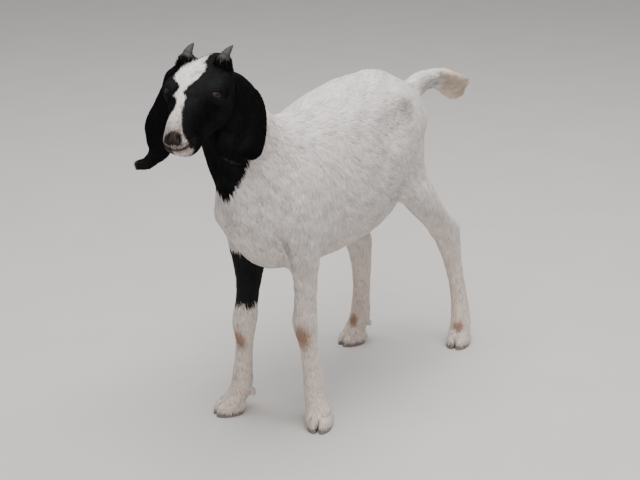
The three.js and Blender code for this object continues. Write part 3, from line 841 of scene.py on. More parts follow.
on_muzzle_or_eye = nose_and_eyes(front=116, low=-62, reach=15)
on_nose_or_lid = nose_and_eyes(front=131, low=-34, reach=10.5)
for where in (on_face, on_muzzle_or_eye, on_nose_or_lid):
    refine(skin.data, where)
settled = pull_onto(skin_field, places_of(skin.data), rounds=4, furthest=1.2)
skin.data.vertices.foreach_set("co", coordinates(settled))
skin.data.update()


def triangles_of(mesh):
    """A mesh's triangles as an array of vertex numbers."""
    mesh.calc_loop_triangles()
    numbers = np.empty(len(mesh.loop_triangles) * 3, np.int32)
    mesh.loop_triangles.foreach_get("vertices", numbers)
    return numbers.reshape(-1, 3)


body_triangles = triangles_of(skin.data)
print("the skin has", len(skin.data.vertices), "vertices and", len(skin.data.polygons), "faces")

# %% [markdown]
# ## Sheets on a grid
#
# Ears, horns, hooves and eyeballs are surfaces of two parameters: one goes round, the other along.
# The whole grid of places is worked out at once, and its last column is sewn to its first.

# %% Grid of places to mesh
def tube_faces(rings, sides):
    """Four-sided faces between neighbouring rings of a closed tube, seen from outside."""
    ring, spoke = np.meshgrid(np.arange(rings - 1), np.arange(sides), indexing="ij")
    here, after = ring * sides + spoke, ring * sides + (spoke + 1) % sides
    return np.stack([here, after, after + sides, here + sides], -1).reshape(-1, 4)


def close_ends(piece):
    """Merges the vertices that meet at the poles, and turns all faces outwards."""
    bm = bmesh.new()
    bm.from_mesh(piece.data)
    bmesh.ops.remove_doubles(bm, verts=bm.verts, dist=1e-6)
    bmesh.ops.recalc_face_normals(bm, faces=bm.faces)
    bm.to_mesh(piece.data)
    bm.free()
    return piece


def tube(name, places):
    """A closed tube from places[ring, side], whose first and last rings are points."""
    rings, sides = places.shape[:2]
    return close_ends(new_object(name, places.reshape(-1, 3), tube_faces(rings, sides)))


def angles(sides):
    """The angles of a ring's sides, as one row."""
    return np.linspace(0, 2 * np.pi, sides, endpoint=False)[None]


def sweep(line, wide, shape, rings, sides):
    """A tube round a line: half width times cos(angle) across it, and thickness times sin(angle) less
    dish times cos(angle) squared outwards. Also the outward directions."""
    t = np.linspace(0, 1, rings)
    middle = line_through(line, t)
    along = unit(line_through(line, np.minimum(t + 1e-3, 1)) - line_through(line, np.maximum(t - 1e-3, 0)))
    across = unit(wide - along * (along @ wide)[:, None])
    outward = np.cross(along, across)
    angle = angles(sides)
    half, thick, dish = (value[:, None] for value in shape(t))
    w = half * np.cos(angle)
    lift = thick * np.sin(angle) - dish * np.cos(angle) ** 2
    places = middle[:, None] + across[:, None] * w[..., None] + outward[:, None] * lift[..., None]
    return places, outward


print("a tube of 3 rings of 4 sides has", len(tube_faces(3, 4)), "faces")

# %% [markdown]
# ## Ears
#
# The ears hang like long leaves from beside the horns, past the jaw. Each is hollow towards the back,
# with folds down its length that fade towards the rim, and the right one's tip is turned out.

# %% Ears
EAR_DISH, EAR_THIN = 0.16, 12  # hollow as a share of the half width; thinner where that is under 12
EAR_COAT = 0.9  # millimetres of hair on each face
ears = {
    "left": {
        "side": LEFT,
        "line": [
            [-10, -21, 22],
            [-13, -33, 35],
            [-18, -56, 45],
            [-23, -84, 49],
            [-14, -108, 46],
            [1, -127, 41],
            [8, 8 - EAR_LENGTH, 37],
        ],
        "wide": [-0.8, 0.6],
        "width": [
            [0, 9], [0.14, 13], [0.3, 23], [0.46, 34], [0.6, 42], [0.7, 42.5], [0.79, 35.5], [0.87, 28],
            [0.94, 21], [0.98, 16], [1, 0],
        ],
    },
    "right": {
        "side": RIGHT,
        "line": [
            [-12, -16, 18],
            [-7, -19, 34],
            [0, -30, 45],
            [2, -52, 50],
            [5, -76, 57],
            [8, -99, 65],
            [10, -118, 68],
            [12, -136, 72],
            [16, 2 - EAR_LENGTH, 82],
            [19, -4 - EAR_LENGTH, 100],
        ],
        "wide": [-0.35, 0.94],
        "width": [
            [0, 9], [0.12, 13], [0.27, 18], [0.43, 26], [0.6, 32], [0.72, 24], [0.83, 14], [0.93, 12],
            [0.98, 9.5], [1, 0],
        ],
    },
}


def ear_places(ear, rings=90, sides=72):
    """The ear's skin: the solid's sheet less its coat, with folds added along its thickness. A fold is
    a cosine across the width, strongest half way out and in the upper two thirds."""
    side = ear["side"]
    line = FACING.out([[s, up, side * out] for s, up, out in ear["line"]])
    wide = FACING.along * ear["wide"][0] + FACING.left * side * ear["wide"][1]
    width = curve_through(ear["width"])

    def shape(t):
        half = np.where((t <= 0) | (t >= 1), 0, width(t)[:, 0])
        inner = np.maximum(half - EAR_COAT, half * 0.3)
        return inner, (EAR_THICK / 2 - EAR_COAT) * np.minimum(1, half / EAR_THIN), side * EAR_DISH * half

    places, outward = sweep(line, wide, shape, rings, sides)
    t = np.linspace(0, 1, rings)[:, None]
    share = np.cos(angles(sides))
    room = ramp(0.05, 0.3, t) * (1 - ramp(0.72, 0.98, t)) * (1 - share**2)
    fold = 1.1 * np.cos(9 * share + 2.2 * t + side) + 0.7 * np.cos(4.3 * share - 3 * t)
    return places + outward[:, None] * (fold * room)[..., None]


ear_sheets = {name: ear_places(ear) for name, ear in ears.items()}
ear_skins = [tube(f"ear_skin_{name}", sheet) for name, sheet in ear_sheets.items()]
print("each ear has", len(ear_skins[0].data.polygons), "faces")

# %% [markdown]
# The ears are flesh as well, so they become part of the one skin. Their roots are deep inside the
# head, and the coat covers the line where they come out.

# %% One skin
with bpy.context.temp_override(active_object=skin, selected_editable_objects=[skin, *ear_skins]):
    bpy.ops.object.join()
FLESH = ["trunk", "neck", "head", "tail", "ear_left", "ear_right", *(f"{name}_leg" for name in feet)]
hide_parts(*FLESH)
print("one skin replaces", FLESH)

# %% [markdown]
# ## Horns
#
# A kid's horns are short cones that lean back. They grow in bursts, which leaves low rings that are
# closest together near the head.

# %% Horns
HORN_TAPER, HORN_FLAT = 0.72, 0.95


def horn_places(side, rings=110, sides=48):
    """Radius (1 - t) to the power HORN_TAPER along the horn's line, with a sine of the square root of t
    for the growth rings and small waves round it for the fibres."""
    s, up, out = HORN_PLACE
    line = HEAD.out([
        [s + 6, up - 9, side * out - 2],
        [s - 1, up + 3, side * out],
        [s - 12, up + 9, side * (out + 1) + 3],
        [s - HORN_LENGTH * 0.7, up + 8, side * (out + 2) + 6],
    ])

    def shape(t):
        radius = np.where((t <= 0) | (t >= 1), 0, HORN_RADIUS * (1 - t) ** HORN_TAPER)
        return radius, radius * HORN_FLAT, 0 * t

    places, _ = sweep(line, HEAD.left, shape, rings, sides)
    t = np.linspace(0, 1, rings)[:, None]
    middle = line_through(line, t[:, 0])[:, None]
    rings_high = 0.035 * np.sin(58 * np.sqrt(t + 0.02)) * (1 - ramp(0.55, 0.9, t))
    fibres = 0.012 * np.sin(11 * angles(sides) + 6 * t) * ramp(0, 0.1, t)
    return middle + (places - middle) * (1 + rings_high + fibres)[..., None]


horns = {}
for name, side in SIDES.items():
    horns[name] = tube(f"horn_{name}_ringed", horn_places(side))
    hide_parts(f"horn_{name}")
print("a horn has", len(horns["left"].data.polygons), "faces")

# %% [markdown]
# ## Hooves and dewclaws
#
# Each foot stands on two claws, curved outside and flat inside, and has two small dewclaws behind the
# pastern. A claw is rings of one outline: it is drawn in and back towards the top, and its wall is
# rounded over at the sole, which is flat on the floor.

# %% Hooves
CLAW = {"toe": 25, "heel": 19, "wide": 17.5, "split": 3, "height": 28, "top": 24, "lean": 9}
DEWCLAW = {"behind": 15, "apart": 9, "height": 36, "size": [4.6, 4.2, 7]}


def claw_places(foot, side, sides=64):
    """Rings of the sole's outline: at height z it is scaled by 1 - 0.1 z / height and leans back in
    proportion, with faint growth ridges round the wall. The top is drawn in, under the hair, and the
    first rings round the wall over onto the sole."""
    toe, heel, wide, split = (CLAW[key] for key in ("toe", "heel", "wide", "split"))
    outline = [
        [-heel, 0.18],
        [-heel * 0.55, 0.02],
        [toe * 0.6, 0],
        [toe, 0.16],
        [toe * 0.93, 0.5],
        [toe * 0.55, 0.87],
        [0, 1],
        [-heel * 0.6, 0.95],
        [-heel, 0.62],
    ]
    flat = np.array([[s, side * (split / 2 + wide * share), 0] for s, share in outline])
    ring = line_through(flat, np.linspace(0, 1, sides, endpoint=False), closed=True)
    middle = side * (split + wide) / 2
    sole_z, sole_grow = [0, 0, 0, 0.15, 0.7], [0, 0.6, 0.93, 0.975, 0.995]
    z = np.concatenate([sole_z, np.linspace(1.6, CLAW["top"], 22), [CLAW["top"]]])
    grow = 1 - 0.1 * z / CLAW["height"] + 0.008 * np.sin(2.1 * z) * (z > 2)
    grow *= 1 - 0.22 * ramp(14, CLAW["top"], z)
    grow[: len(sole_grow)] = sole_grow
    grow[-1] = 0
    back = CLAW["lean"] * z / CLAW["height"]
    x = ring[None, :, 0] * grow[:, None] - back[:, None]
    y = middle + (ring[None, :, 1] - middle) * grow[:, None]
    places = np.stack([x, np.broadcast_to(z[:, None], x.shape), y], -1)
    return foot_place(foot).out(places)


def dewclaw_places(foot, side, rings=18, sides=20):
    """An egg that hangs down and back, its lower half drawn to a blunt point."""
    polar = np.linspace(0, np.pi, rings)[:, None]
    angle = angles(sides)
    long, wide, tall = DEWCLAW["size"]
    radius = np.sin(polar) * (1 + 0.18 * np.cos(polar))
    down = -tall * np.cos(polar) + 0 * angle
    places = np.stack([
        -DEWCLAW["behind"] + long * radius * np.cos(angle) + 0.25 * down,
        DEWCLAW["height"] + down,
        side * DEWCLAW["apart"] + wide * radius * np.sin(angle),
    ], -1)
    return foot_place(foot, "pastern").out(places)


hooves = []
for foot_name, foot in feet.items():
    for name, side in SIDES.items():
        claw = tube(f"{foot_name}_hoof_{name}", claw_places(foot, side))
        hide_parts(f"{foot_name}_claw_{name}")
        dewclaw = tube(f"{foot_name}_spur_{name}", dewclaw_places(foot, side))
        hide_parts(f"{foot_name}_dewclaw_{name}")
        hooves += [claw, dewclaw]
print(len(hooves), "hooves and dewclaws")

# %% [markdown]
# ## Eyes
#
# An eyeball is a sphere whose cornea stands out a little in front. A goat's pupil is a level slot.

# %% Eyeballs
CORNEA_RISE, CORNEA_WIDE = 0.7, 0.55  # millimetres, and radians from the gaze


def eyeball_places(eye, rings=60, sides=64):
    """A sphere about the gaze, with the radius raised by a bell of the angle from it."""
    polar = np.linspace(0, np.pi, rings)[:, None]
    angle = angles(sides)
    radius = EYEBALL - CORNEA_RISE + CORNEA_RISE * bell(polar, CORNEA_WIDE)
    across = radius * np.sin(polar)
    ahead = radius * np.cos(polar) + 0 * angle
    local = np.stack([across * np.cos(angle), across * np.sin(angle), ahead], -1)
    return eye.centre + local @ eye.axes


eyeballs = {}
for name, eye in eyes.items():
    ball = tube(f"eyeball_{name}", eyeball_places(eye))
    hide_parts(f"eye_{name}")
    level = eye.into(places_of(ball.data))
    store(ball.data, "along_eye", level[:, 0] / EYEBALL)
    store(ball.data, "across_eye", level[:, 1] / EYEBALL)
    eyeballs[name] = ball
print("an eyeball has", len(eyeballs["left"].data.polygons), "faces")

# %% [markdown]
# ## Shader maths
#
# A finish is written as an expression: a `Wire` is the output of a node, and adding or multiplying
# wires adds the Math nodes. Everything else is made by `node`.

# %% Wires and finishes
class Wire:
    """An output socket that can be added to, subtracted from and multiplied."""

    def __init__(self, finish, socket):
        self.finish = finish
        self.socket = socket

    def maths(self, operation, first, second):
        """One Math node."""
        return self.finish.node("ShaderNodeMath", {"operation": operation}, {0: first, 1: second})

    def __add__(self, other):
        return self.maths("ADD", self, other)

    def __sub__(self, other):
        return self.maths("SUBTRACT", self, other)

    def __rsub__(self, other):
        return self.maths("SUBTRACT", other, self)

    def __mul__(self, other):
        return self.maths("MULTIPLY", self, other)

    __radd__ = __add__
    __rmul__ = __mul__


class Finish:
    """A material, and the methods that add nodes to it."""

    def __init__(self, name):
        self.material = bpy.data.materials.new(name)
        self.material.use_nodes = True
        self.tree = self.material.node_tree
        self.tree.nodes.clear()

    def node(self, kind, settings=None, inputs=None, output=0):
        """Adds a node: its settings first, then the values or wires of its sockets."""
        node = self.tree.nodes.new(kind)
        for name, value in (settings or {}).items():
            setattr(node, name, value)
        for socket, value in (inputs or {}).items():
            if isinstance(value, Wire):
                self.tree.links.new(value.socket, node.inputs[socket])
            else:
                node.inputs[socket].default_value = value
        return Wire(self, node.outputs[output])

    def attribute(self, name, output="Fac"):
        """A number or colour that the mesh keeps for each vertex."""
        return self.node("ShaderNodeAttribute", {"attribute_name": name}, output=output)

    def place(self):
        """Where a point is on the object, in metres."""
        return self.node("ShaderNodeTexCoord", output="Object")

    def noise(self, scale, detail=3.0, stretch=None):
        """Noise between 0 and 1 on the object's own places, stretched along an axis if asked."""
        at = self.place()
        if stretch is not None:
            at = self.node("ShaderNodeMapping", inputs={"Vector": at, "Scale": stretch})
        return self.node("ShaderNodeTexNoise", inputs={"Vector": at, "Scale": scale, "Detail": detail})

    def between(self, low, high, value):
        """0 up to low and 1 from high, smoothly."""
        values = {"Value": value, "From Min": low, "From Max": high}
        return self.node("ShaderNodeMapRange", {"interpolation_type": "SMOOTHSTEP"}, values)

    def mix(self, share, first, second):
        """A colour part of the way from the first to the second."""
        return self.node("ShaderNodeMix", {"data_type": "RGBA"}, {0: share, 6: first, 7: second}, output=2)

    def bump(self, height, strength, distance):
        """A normal that leans as a surface of that height would."""
        values = {"Height": height, "Strength": strength, "Distance": distance}
        return self.node("ShaderNodeBump", inputs=values)

    def surface(self, sockets):
        """The Principled shader and the output, and the finished material."""
        shader = self.node("ShaderNodeBsdfPrincipled", inputs=sockets, output="BSDF")
        out = self.tree.nodes.new("ShaderNodeOutputMaterial")
        self.tree.links.new(shader.socket, out.inputs["Surface"])
        return self.material


# %% [markdown]
# ## Horn, hoof and eye
#
# Horn and hoof are the same stuff: dull, and streaked along the way that they grow. The noise is
# stretched along that way, and it tilts the surface a little as well, so the streaks catch the light.
# An eye is one surface, and its rings are told apart by how far along and across it a place is.

# %% Horn and hoof
def horn_finish():
    """Dark grey horn with fine streaks along it and larger stains."""
    f = Finish("horn")
    streaks = f.noise(260, stretch=(1, 1, 0.25))
    stains = f.noise(60)
    colour = f.mix(streaks, (0.028, 0.024, 0.021, 1), (0.085, 0.074, 0.065, 1))
    colour = f.mix(stains * 0.6, colour, (0.036, 0.031, 0.028, 1))
    return f.surface({
        "Base Color": colour,
        "Roughness": f.between(0, 1, streaks) * 0.25 + 0.48,
        "Specular IOR Level": 0.25,
        "Normal": f.bump(streaks, 0.4, 0.0006),
    })


def hoof_finish():
    """Slate grey wall with pale streaks up and down, dust on the lower edge, and a pale coronet, which
    lies under the hair."""
    f = Finish("hoof")
    height = f.node("ShaderNodeSeparateXYZ", inputs={"Vector": f.place()}, output="Z")
    streaks = f.noise(420, stretch=(1, 1, 0.12))
    colour = f.mix(streaks, (0.035, 0.034, 0.036, 1), (0.27, 0.25, 0.235, 1))
    dust = f.between(0.006, 0.0, height) * f.noise(150)
    colour = f.mix(dust, colour, (0.33, 0.22, 0.15, 1))
    coronet = f.between(0.0165, 0.0195, height)
    colour = f.mix(coronet, colour, (0.45, 0.37, 0.32, 1))
    return f.surface({
        "Base Color": colour,
        "Roughness": f.noise(90) * 0.2 + 0.45,
        "Normal": f.bump(streaks, 0.5, 0.0006),
    })


HORN = horn_finish()
HOOF = hoof_finish()
for piece in horns.values():
    piece.data.materials.append(HORN)
for piece in hooves:
    piece.data.materials.append(HOOF)
print("horn and hoof:", HORN.name, HOOF.name)


# %% Eye
def eye_finish():
    """A warm brown iris with fine spokes and a dark rim, with painted shade under the upper lid and
    painted light on its lower part by the lower lid, and a level pupil with soft ends. The iris is where
    the distance from the gaze is under 0.6 of the ball, and the pupil an oval in it."""
    f = Finish("eye")
    along, across = f.attribute("along_eye"), f.attribute("across_eye")
    far = along * along + across * across
    spokes = f.noise(1500, detail=2)
    iris = f.mix(spokes, (0.065, 0.034, 0.026, 1), (0.15, 0.082, 0.062, 1))
    rim = f.between(0.2, 0.36, far)
    # Painted shade of the upper lid over the top of the iris, and painted light on its lower part.
    upper = f.between(0.0, 0.3, across)
    lower = f.between(-0.2, -0.38, across)
    iris = f.mix(rim, iris, (0.03, 0.014, 0.01, 1))
    iris = f.mix(upper, iris, (0.014, 0.008, 0.007, 1))
    iris = f.mix(lower, iris, (0.24, 0.13, 0.10, 1))
    pupil = f.between(1.15, 0.85, along * along * 5.5 + across * across * 42)
    iris = f.mix(pupil, iris, (0.004, 0.004, 0.006, 1))
    colour = f.mix(f.between(0.36, 0.44, far), iris, (0.035, 0.02, 0.016, 1))
    return f.surface({
        "Base Color": colour,
        "Roughness": 0.4,
        "Specular IOR Level": 0.25,
        "Coat Weight": 0.2,
        "Coat Roughness": 0.05,
    })


EYE = eye_finish()
for piece in eyeballs.values():
    piece.data.materials.append(EYE)
print("eye:", EYE.name)

# %% [markdown]
# ## Markings
#
# The head, ears and throat are black and so is a band on the right forearm. A white blaze runs from
# between the horns to the muzzle. The rest is white: warmer on the legs, with brown on the knees
# where the goat kneels. Every marking is a rule about a place in the frame of its own part, and the
# skin and each tuft ask the same rules, so they agree. `ragged` moves an edge by that many
# millimetres at each point, and `tone` makes one tuft darker or lighter than the next.

# %% Colours and where they are
BLACK_HAIR = np.array([0.0042, 0.0042, 0.0050])
WHITE_HAIR = np.array([0.82, 0.765, 0.73])
GREY_HAIR = np.array([0.49, 0.435, 0.405])
CREAM_HAIR = np.array([0.80, 0.665, 0.57])
TAN_HAIR = np.array([0.34, 0.19, 0.12])
STRAW_HAIR = np.array([0.95, 0.73, 0.52])
NOSE_PAD = np.array([0.036, 0.023, 0.021])
# painted shade, near black, for the nostrils and the line between the lips
HOLLOW_SHADE = np.array([0.008, 0.006, 0.006])
SPECKLE = np.array([0.20, 0.145, 0.135])
PINK_LIP = np.array([0.36, 0.22, 0.19])

# [station, right edge, left edge] of the blaze, across the face
blaze = curve_through([
    [-14, -13, -3],
    [6, -15, -1],
    [12, -25, 3],
    [20, -30, 7],
    [34, -31, 8],
    [48, -27, 7],
    [60, -18, 1],
    [71, -15, -3],
    [77, -19, -3],
    [86, -12.5, 0.5],
    [103, -10.5, 1.5],
    [114, -17, 3.5],
    [122, -20, 5.5],
    [132, -25, 8.5],
    [138, -30, 13],
    [143, -34, 18],
    [148, -34, 19],
])
# [station up the neck, height of the black throat's edge across it]
throat = curve_through([
    [66, -112],
    [75, -97],
    [83, -80],
    [91, -64],
    [96, -48],
    [105, -33],
    [115, -17],
    [130, 10],
    [150, 75],
])
# [station up the neck, how far across it the white breast reaches]
breast = curve_through([[68, 12], [75, 5], [85, -8], [92, -22], [102, -60]])
ARMPIT = np.array([187, -48])
BROWN_PATCHES = [  # centre, and half sizes along X, Y and Z
    ([174, 47, 148], [18, 16, 27]),
    ([212, -44, 136], [15, 12, 24]),
    ([-230, 79, 38], [12, 13, 11]),
    ([-126, -73, 46], [10, 10, 15]),
]
BREAST_FOLD = np.array([[228, 61, 322], [202, 50, 268]])  # its ends, by the left foreleg
right_edge, left_edge = blaze(np.array([60.0]))[0]
print("the blaze is", round(left_edge - right_edge, 1), "mm wide in the middle of the face")


# %% Where the hair is black
def waves(points, scale, seed):
    """Smooth noise from -1 to 1: the mean of six sine waves of random directions."""
    rng = np.random.default_rng(seed)
    total = np.zeros(len(points))
    for _ in range(6):
        direction = unit(rng.normal(size=3)) * rng.uniform(0.7, 1.6) / scale
        total += np.sin(points @ direction * 2 * np.pi + rng.uniform(0, 2 * np.pi))
    return total / 6


def white_on_face(points, ragged):
    """1 in the blaze, and 1 on the white of the lips and chin, as two shares."""
    s, up, left = HEAD.into(points).T
    right_edge, left_edge = blaze(s).T
    within = np.minimum(left - right_edge, left_edge - left) + ragged
    dark_lip = ramp(139, 143, s) * ramp(-15, -18, up) * ramp(-1.5, -4.5, left + ragged)
    on_top = ramp(-0.7, 0.7, within) * ramp(-38, -34, up - 0.1 * ragged) * (1 - 0.9 * dark_lip)
    across_chin = ramp(-5, -2, left + ragged) * ramp(21, 17, left)
    return on_top, ramp(-28, -32, up) * ramp(133, 138, s + ragged) * across_chin


def black_of_throat(points, ragged):
    """1 below an edge that slants up the neck, on the left of the white breast."""
    along, height, across = NECK.into(points).T
    below = throat(along)[:, 0] - height - 0.78 * across * ramp(140, 90, along) + 1.5 * ragged
    beside_breast = ramp(-2, 2, across - breast(along)[:, 0] + ragged)
    return ramp(-2, 2, below) * ramp(60, 66, along) * beside_breast


def black_on_foreleg(points, ragged):
    """1 on the right forearm, from over the knee up to the trunk."""
    x, y, z = points.T
    ceiling = 279 + 0.5 * np.maximum(x - 205, 0)
    band = ramp(191, 195, z + 2.5 * ragged) * ramp(1, -1, z - ceiling - ragged) * ramp(9, 6, y + ragged)
    return band * ramp(46, 42, np.hypot(x - ARMPIT[0], 0.8 * (y - ARMPIT[1])) + ragged)


def black_share(points, ragged):
    """1 where the hair is black: the head and throat without their white, and the band."""
    on_head = head_share(points)
    on_top, on_chin = white_on_face(points, ragged)
    head = on_head * (1 - np.maximum(on_top, on_chin))
    neck = black_of_throat(points, ragged) * (1 - on_top * on_head) * (1 - on_chin * on_head)
    return np.clip(np.maximum.reduce([head, neck, black_on_foreleg(points, ragged)]), 0, 1)


def bare_share(points):
    """1 on the skin that has no hair: the pad of the nose, the lips' edges and the lids."""
    s, up, left = HEAD.into(points).T
    aside = np.abs(left - MUZZLE_MIDDLE)
    ragged = 2.6 * waves(points, 3, 62)
    pad = ramp(130, 136, s - 0.3 * aside + ragged) * ramp(-18, -15, up) * ramp(14.5, 11, aside + ragged)
    lips = bell(over_mouth(s, up), 2.2) * ramp(118, 126, s)
    bare = np.maximum(pad, lips)
    for eye in eyes.values():
        along, across, out = eye.into(points).T
        bare = np.maximum(bare, ramp(1.6, 0.6, almond(along, across)) * (out > 0))
    return bare * head_share(points)


poll_and_withers = np.array([POLL, [160.0, 0, WITHERS]])
print("black at the poll and the withers:", black_share(poll_and_withers, 0).round(2))


# %% The colour of the hair
def towards(colour, other, share):
    """A colour moved part of the way to another, by a share for each point."""
    return colour + (other - colour) * share[:, None]


def black_hair(tone):
    """Black, up to twice as light where the tone is high."""
    return BLACK_HAIR * (1 + 0.5 * np.clip(tone, -1, 2))[:, None]


def white_coat(points, tone):
    """White with cloudy grey in it, and creamier low on the trunk and down the legs."""
    z = points[:, 2]
    grey = np.clip(0.14 + 0.26 * waves(points, 42, 3) + 0.13 * waves(points, 13, 4) + 0.10 * tone, 0, 1)
    cream = np.clip(0.5 * ramp(250, 90, z) + 0.3 * ramp(330, 260, z) + 0.18 * waves(points, 30, 5), 0, 1)
    return towards(towards(WHITE_HAIR, GREY_HAIR, grey), CREAM_HAIR * (1 - 0.2 * grey[:, None]), cream)


def patches_and_tail(points, tone, colour):
    """Brown patches on the joints, painted shade in the fold by the left foreleg, and the tail's pale
    brush with painted shade at its waist."""
    for centre, size in BROWN_PATCHES:
        far = np.linalg.norm((points - centre) / size, axis=1) + 0.28 * waves(points, 9, 6) + 0.1 * tone
        colour = towards(colour, TAN_HAIR, 0.9 * ramp(1.2, 0.4, far))
    # painted shade in the fold between the breast and the left foreleg
    down = BREAST_FOLD[1] - BREAST_FOLD[0]
    along = np.clip((points - BREAST_FOLD[0]) @ down / (down @ down), 0, 1)
    beside = np.linalg.norm(points - BREAST_FOLD[0] - along[:, None] * down, axis=1)
    colour = colour * (1 - 0.55 * bell(beside + 2 * waves(points, 12, 9), 6))[:, None]
    from_root, up, _ = TAIL.into(points).T
    colour = towards(colour, STRAW_HAIR, 0.8 * ramp(65, 120, from_root) * ramp(380, 410, points[:, 2]))
    # painted shade in the hollow at the waist of the tail's brush
    return colour * (1 - 0.35 * bell(from_root - 100, 8) * bell(up - 452, 13))[:, None]


def face_hair(points, tone, colour):
    """Single dark hairs on the face, specks that thicken towards the nose, and painted shade along the
    mouth.
    """
    s, up, _ = HEAD.into(points).T
    on_head = head_share(points)
    colour = colour * (1 - 0.42 * on_head * ramp(1.0, 1.5, tone))[:, None]
    near_pad = ramp(120, 133, s) * ramp(-20, -14, up)
    specks = ramp(-0.35, 0.55, waves(points, 3.2, 7) + 0.3 * tone + 0.35 * near_pad)
    colour = towards(colour, SPECKLE, 0.8 * on_head * ramp(100, 128, s) * specks)
    # painted shade in the line between the lips
    return towards(colour, HOLLOW_SHADE, 0.85 * on_head * bell(over_mouth(s, up), 2.6) * ramp(119, 124, s))


def hair_colour(points, tone):
    """The colour of the hair at each place. A tone of 0 is the usual one, and more is greyer."""
    colour = patches_and_tail(points, tone, white_coat(points, tone))
    colour = colour * np.exp(-0.06 * tone - 0.25 * (tone > 2.0))[:, None]
    black = black_share(points, 1.6 * waves(points, 11, 8) + 0.9 * tone)
    return towards(face_hair(points, tone, colour), black_hair(tone), black)


print("poll and withers:", hair_colour(poll_and_withers, np.zeros(2)).round(3).tolist())

# %% [markdown]
# ## The lie of the hair
#
# Hair grows backwards from the nose, and down from the back. Over the shoulder it falls almost
# straight, on the ribs it slants, and on the legs it points at the floor. Each part has its own
# direction, and a place takes the directions of the parts near it in proportion to how near they are.

# %% Nearness of each part
PARTS = ["trunk", "neck", "head", "tail", "leg"]
part_forms = {
    "trunk": [trunk_row],
    "neck": [neck_row],
    "head": [head_room],
    "tail": [tail_row],
    "leg": list(legs.values()),
}
MIXING = 9.0  # over how many millimetres one part's direction gives way to the next


def shares_of(points):
    """Each part's share: e to the minus its extra distance over MIXING, scaled to add up to 1."""
    far = []
    for part in PARTS:
        far.append(np.min([field_of([form], points) for form in part_forms[part]], axis=0))
    far = np.stack(far, -1)
    far[:, PARTS.index("leg")] += 14 * ramp(250, 330, points[:, 2])  # the legs' tops lie in the trunk
    share = np.exp(-(far - far.min(1, keepdims=True)) / MIXING)
    return share / share.sum(1, keepdims=True)


under_chin = HEAD.out([[20, -95, 0]])
print("under the jaw:", dict(zip(PARTS, shares_of(under_chin)[0].round(2).tolist())))

# %% Directions
# [x, slope of the hair below level in degrees] on the flank
flank_slope = curve_through([
    [-210, 80],
    [-150, 62],
    [-90, 40],
    [-20, 30],
    [60, 44],
    [130, 68],
    [200, 82],
    [290, 88],
])


def lie_of(points, shares):
    """The direction of the hair before it is laid along the skin. Each part's is written in its own
    frame, and the jaw's hair fans out to both sides."""
    x, _, z = points.T
    slope = np.radians(8 + (flank_slope(x)[:, 0] - 8) * ramp(500, 425, z))
    slope += 0.35 * waves(points, 60, 11)
    trunk = np.stack([-np.cos(slope), 0 * x, -np.sin(slope)], -1)
    neck = -NECK.along * 0.8 + np.array([-0.1, 0, -0.45]) + 0 * trunk
    s, up, left = HEAD.into(points).T
    fan = ramp(76, 40, s) * ramp(-30, -10, up) * np.clip((left + 6) / 14, -1, 1)
    fall = ramp(-8, -30, up)
    head = -HEAD.along[None] * (1 - 0.3 * fall)[:, None]
    head = head + HEAD.left * (0.9 * fan)[:, None] - HEAD.up * (0.5 * fall)[:, None]
    tail = TAIL.along[None] + 0 * trunk
    leg = np.array([-0.12, 0, -1.0]) + 0 * trunk
    each = np.stack([trunk, neck, head, tail, leg], 1)
    return (each * shares[..., None]).sum(1)


print("hair under the jaw points", unit(lie_of(under_chin, shares_of(under_chin)))[0].round(2))

# %% [markdown]
# ## The hair's finish
#
# A tuft carries its colour. Seen close, hair is a little glossy along its length, and white hair is
# soft at grazing angles, which the sheen gives.

# %% Hair
def hair_finish(name, roughness, sheen, gloss):
    """The tuft's own colour, with a fine fibrous bump."""
    f = Finish(name)
    fibres = f.noise(1400, detail=2)
    return f.surface({
        "Base Color": f.attribute("tint", "Color"),
        "Roughness": fibres * 0.2 + (roughness - 0.1),
        "Specular IOR Level": gloss,
        "Sheen Weight": sheen,
        "Sheen Roughness": 0.5,
        "Normal": f.bump(fibres, 0.25, 0.0004),
    })


HAIR = {
    "coat_white": hair_finish("white_hair", 0.72, 0.12, 0.25),
    "coat_cream": hair_finish("cream_hair", 0.72, 0.12, 0.25),
    "coat_black": hair_finish("black_hair", 0.62, 0.0, 0.07),
}
print("hair finishes:", [finish.name for finish in HAIR.values()])

# %% [markdown]
# ## Tufts
#
# A tuft is a thin closed wedge of four faces: two corners at its root, a ridge a little way along,
# and a tip. Its ridge and tip are set at a height over the skin that is a share of the coat's depth,
# so the coat keeps to the solids' outline within a few millimetres. Tufts are planted at random
# places, more of them where they are small, so that the coat is equally thick everywhere.

# %% Tuft sizes
SIZES = {  # length, width, and how many lie over each other
    "trunk": [19.0, 1.5, 4.1],
    "neck": [15.0, 1.5, 3.9],
    "head": [6.0, 1.05, 3.3],
    "tail": [30.0, 1.4, 9.0],
    "leg": [11.0, 1.25, 3.6],
}
WEDGE = np.array([[0, 2, 1], [0, 3, 2], [1, 2, 3], [0, 1, 3]])
PATCH = np.array([[0, 0], [0.003, 0], [0.0015, 0.0015], [0.0015, 0.003]])
RIDGE_AT = 0.38
RIDGE_LEAST = [0.12, 0.1]  # millimetres, and a share of the width
ROUNDING = 0.55  # how far the normals lean out
SHORTER = {  # length, width and layers that are taken off, as shares
    "foot": np.array([0.35, 0.15, 0]),
    "muzzle": np.array([0.45, 0.3, 0]),
    "eye": np.array([0.4, 0.25, 0]),
}
LONG_CROWN = np.array([0.5, 0, 0])


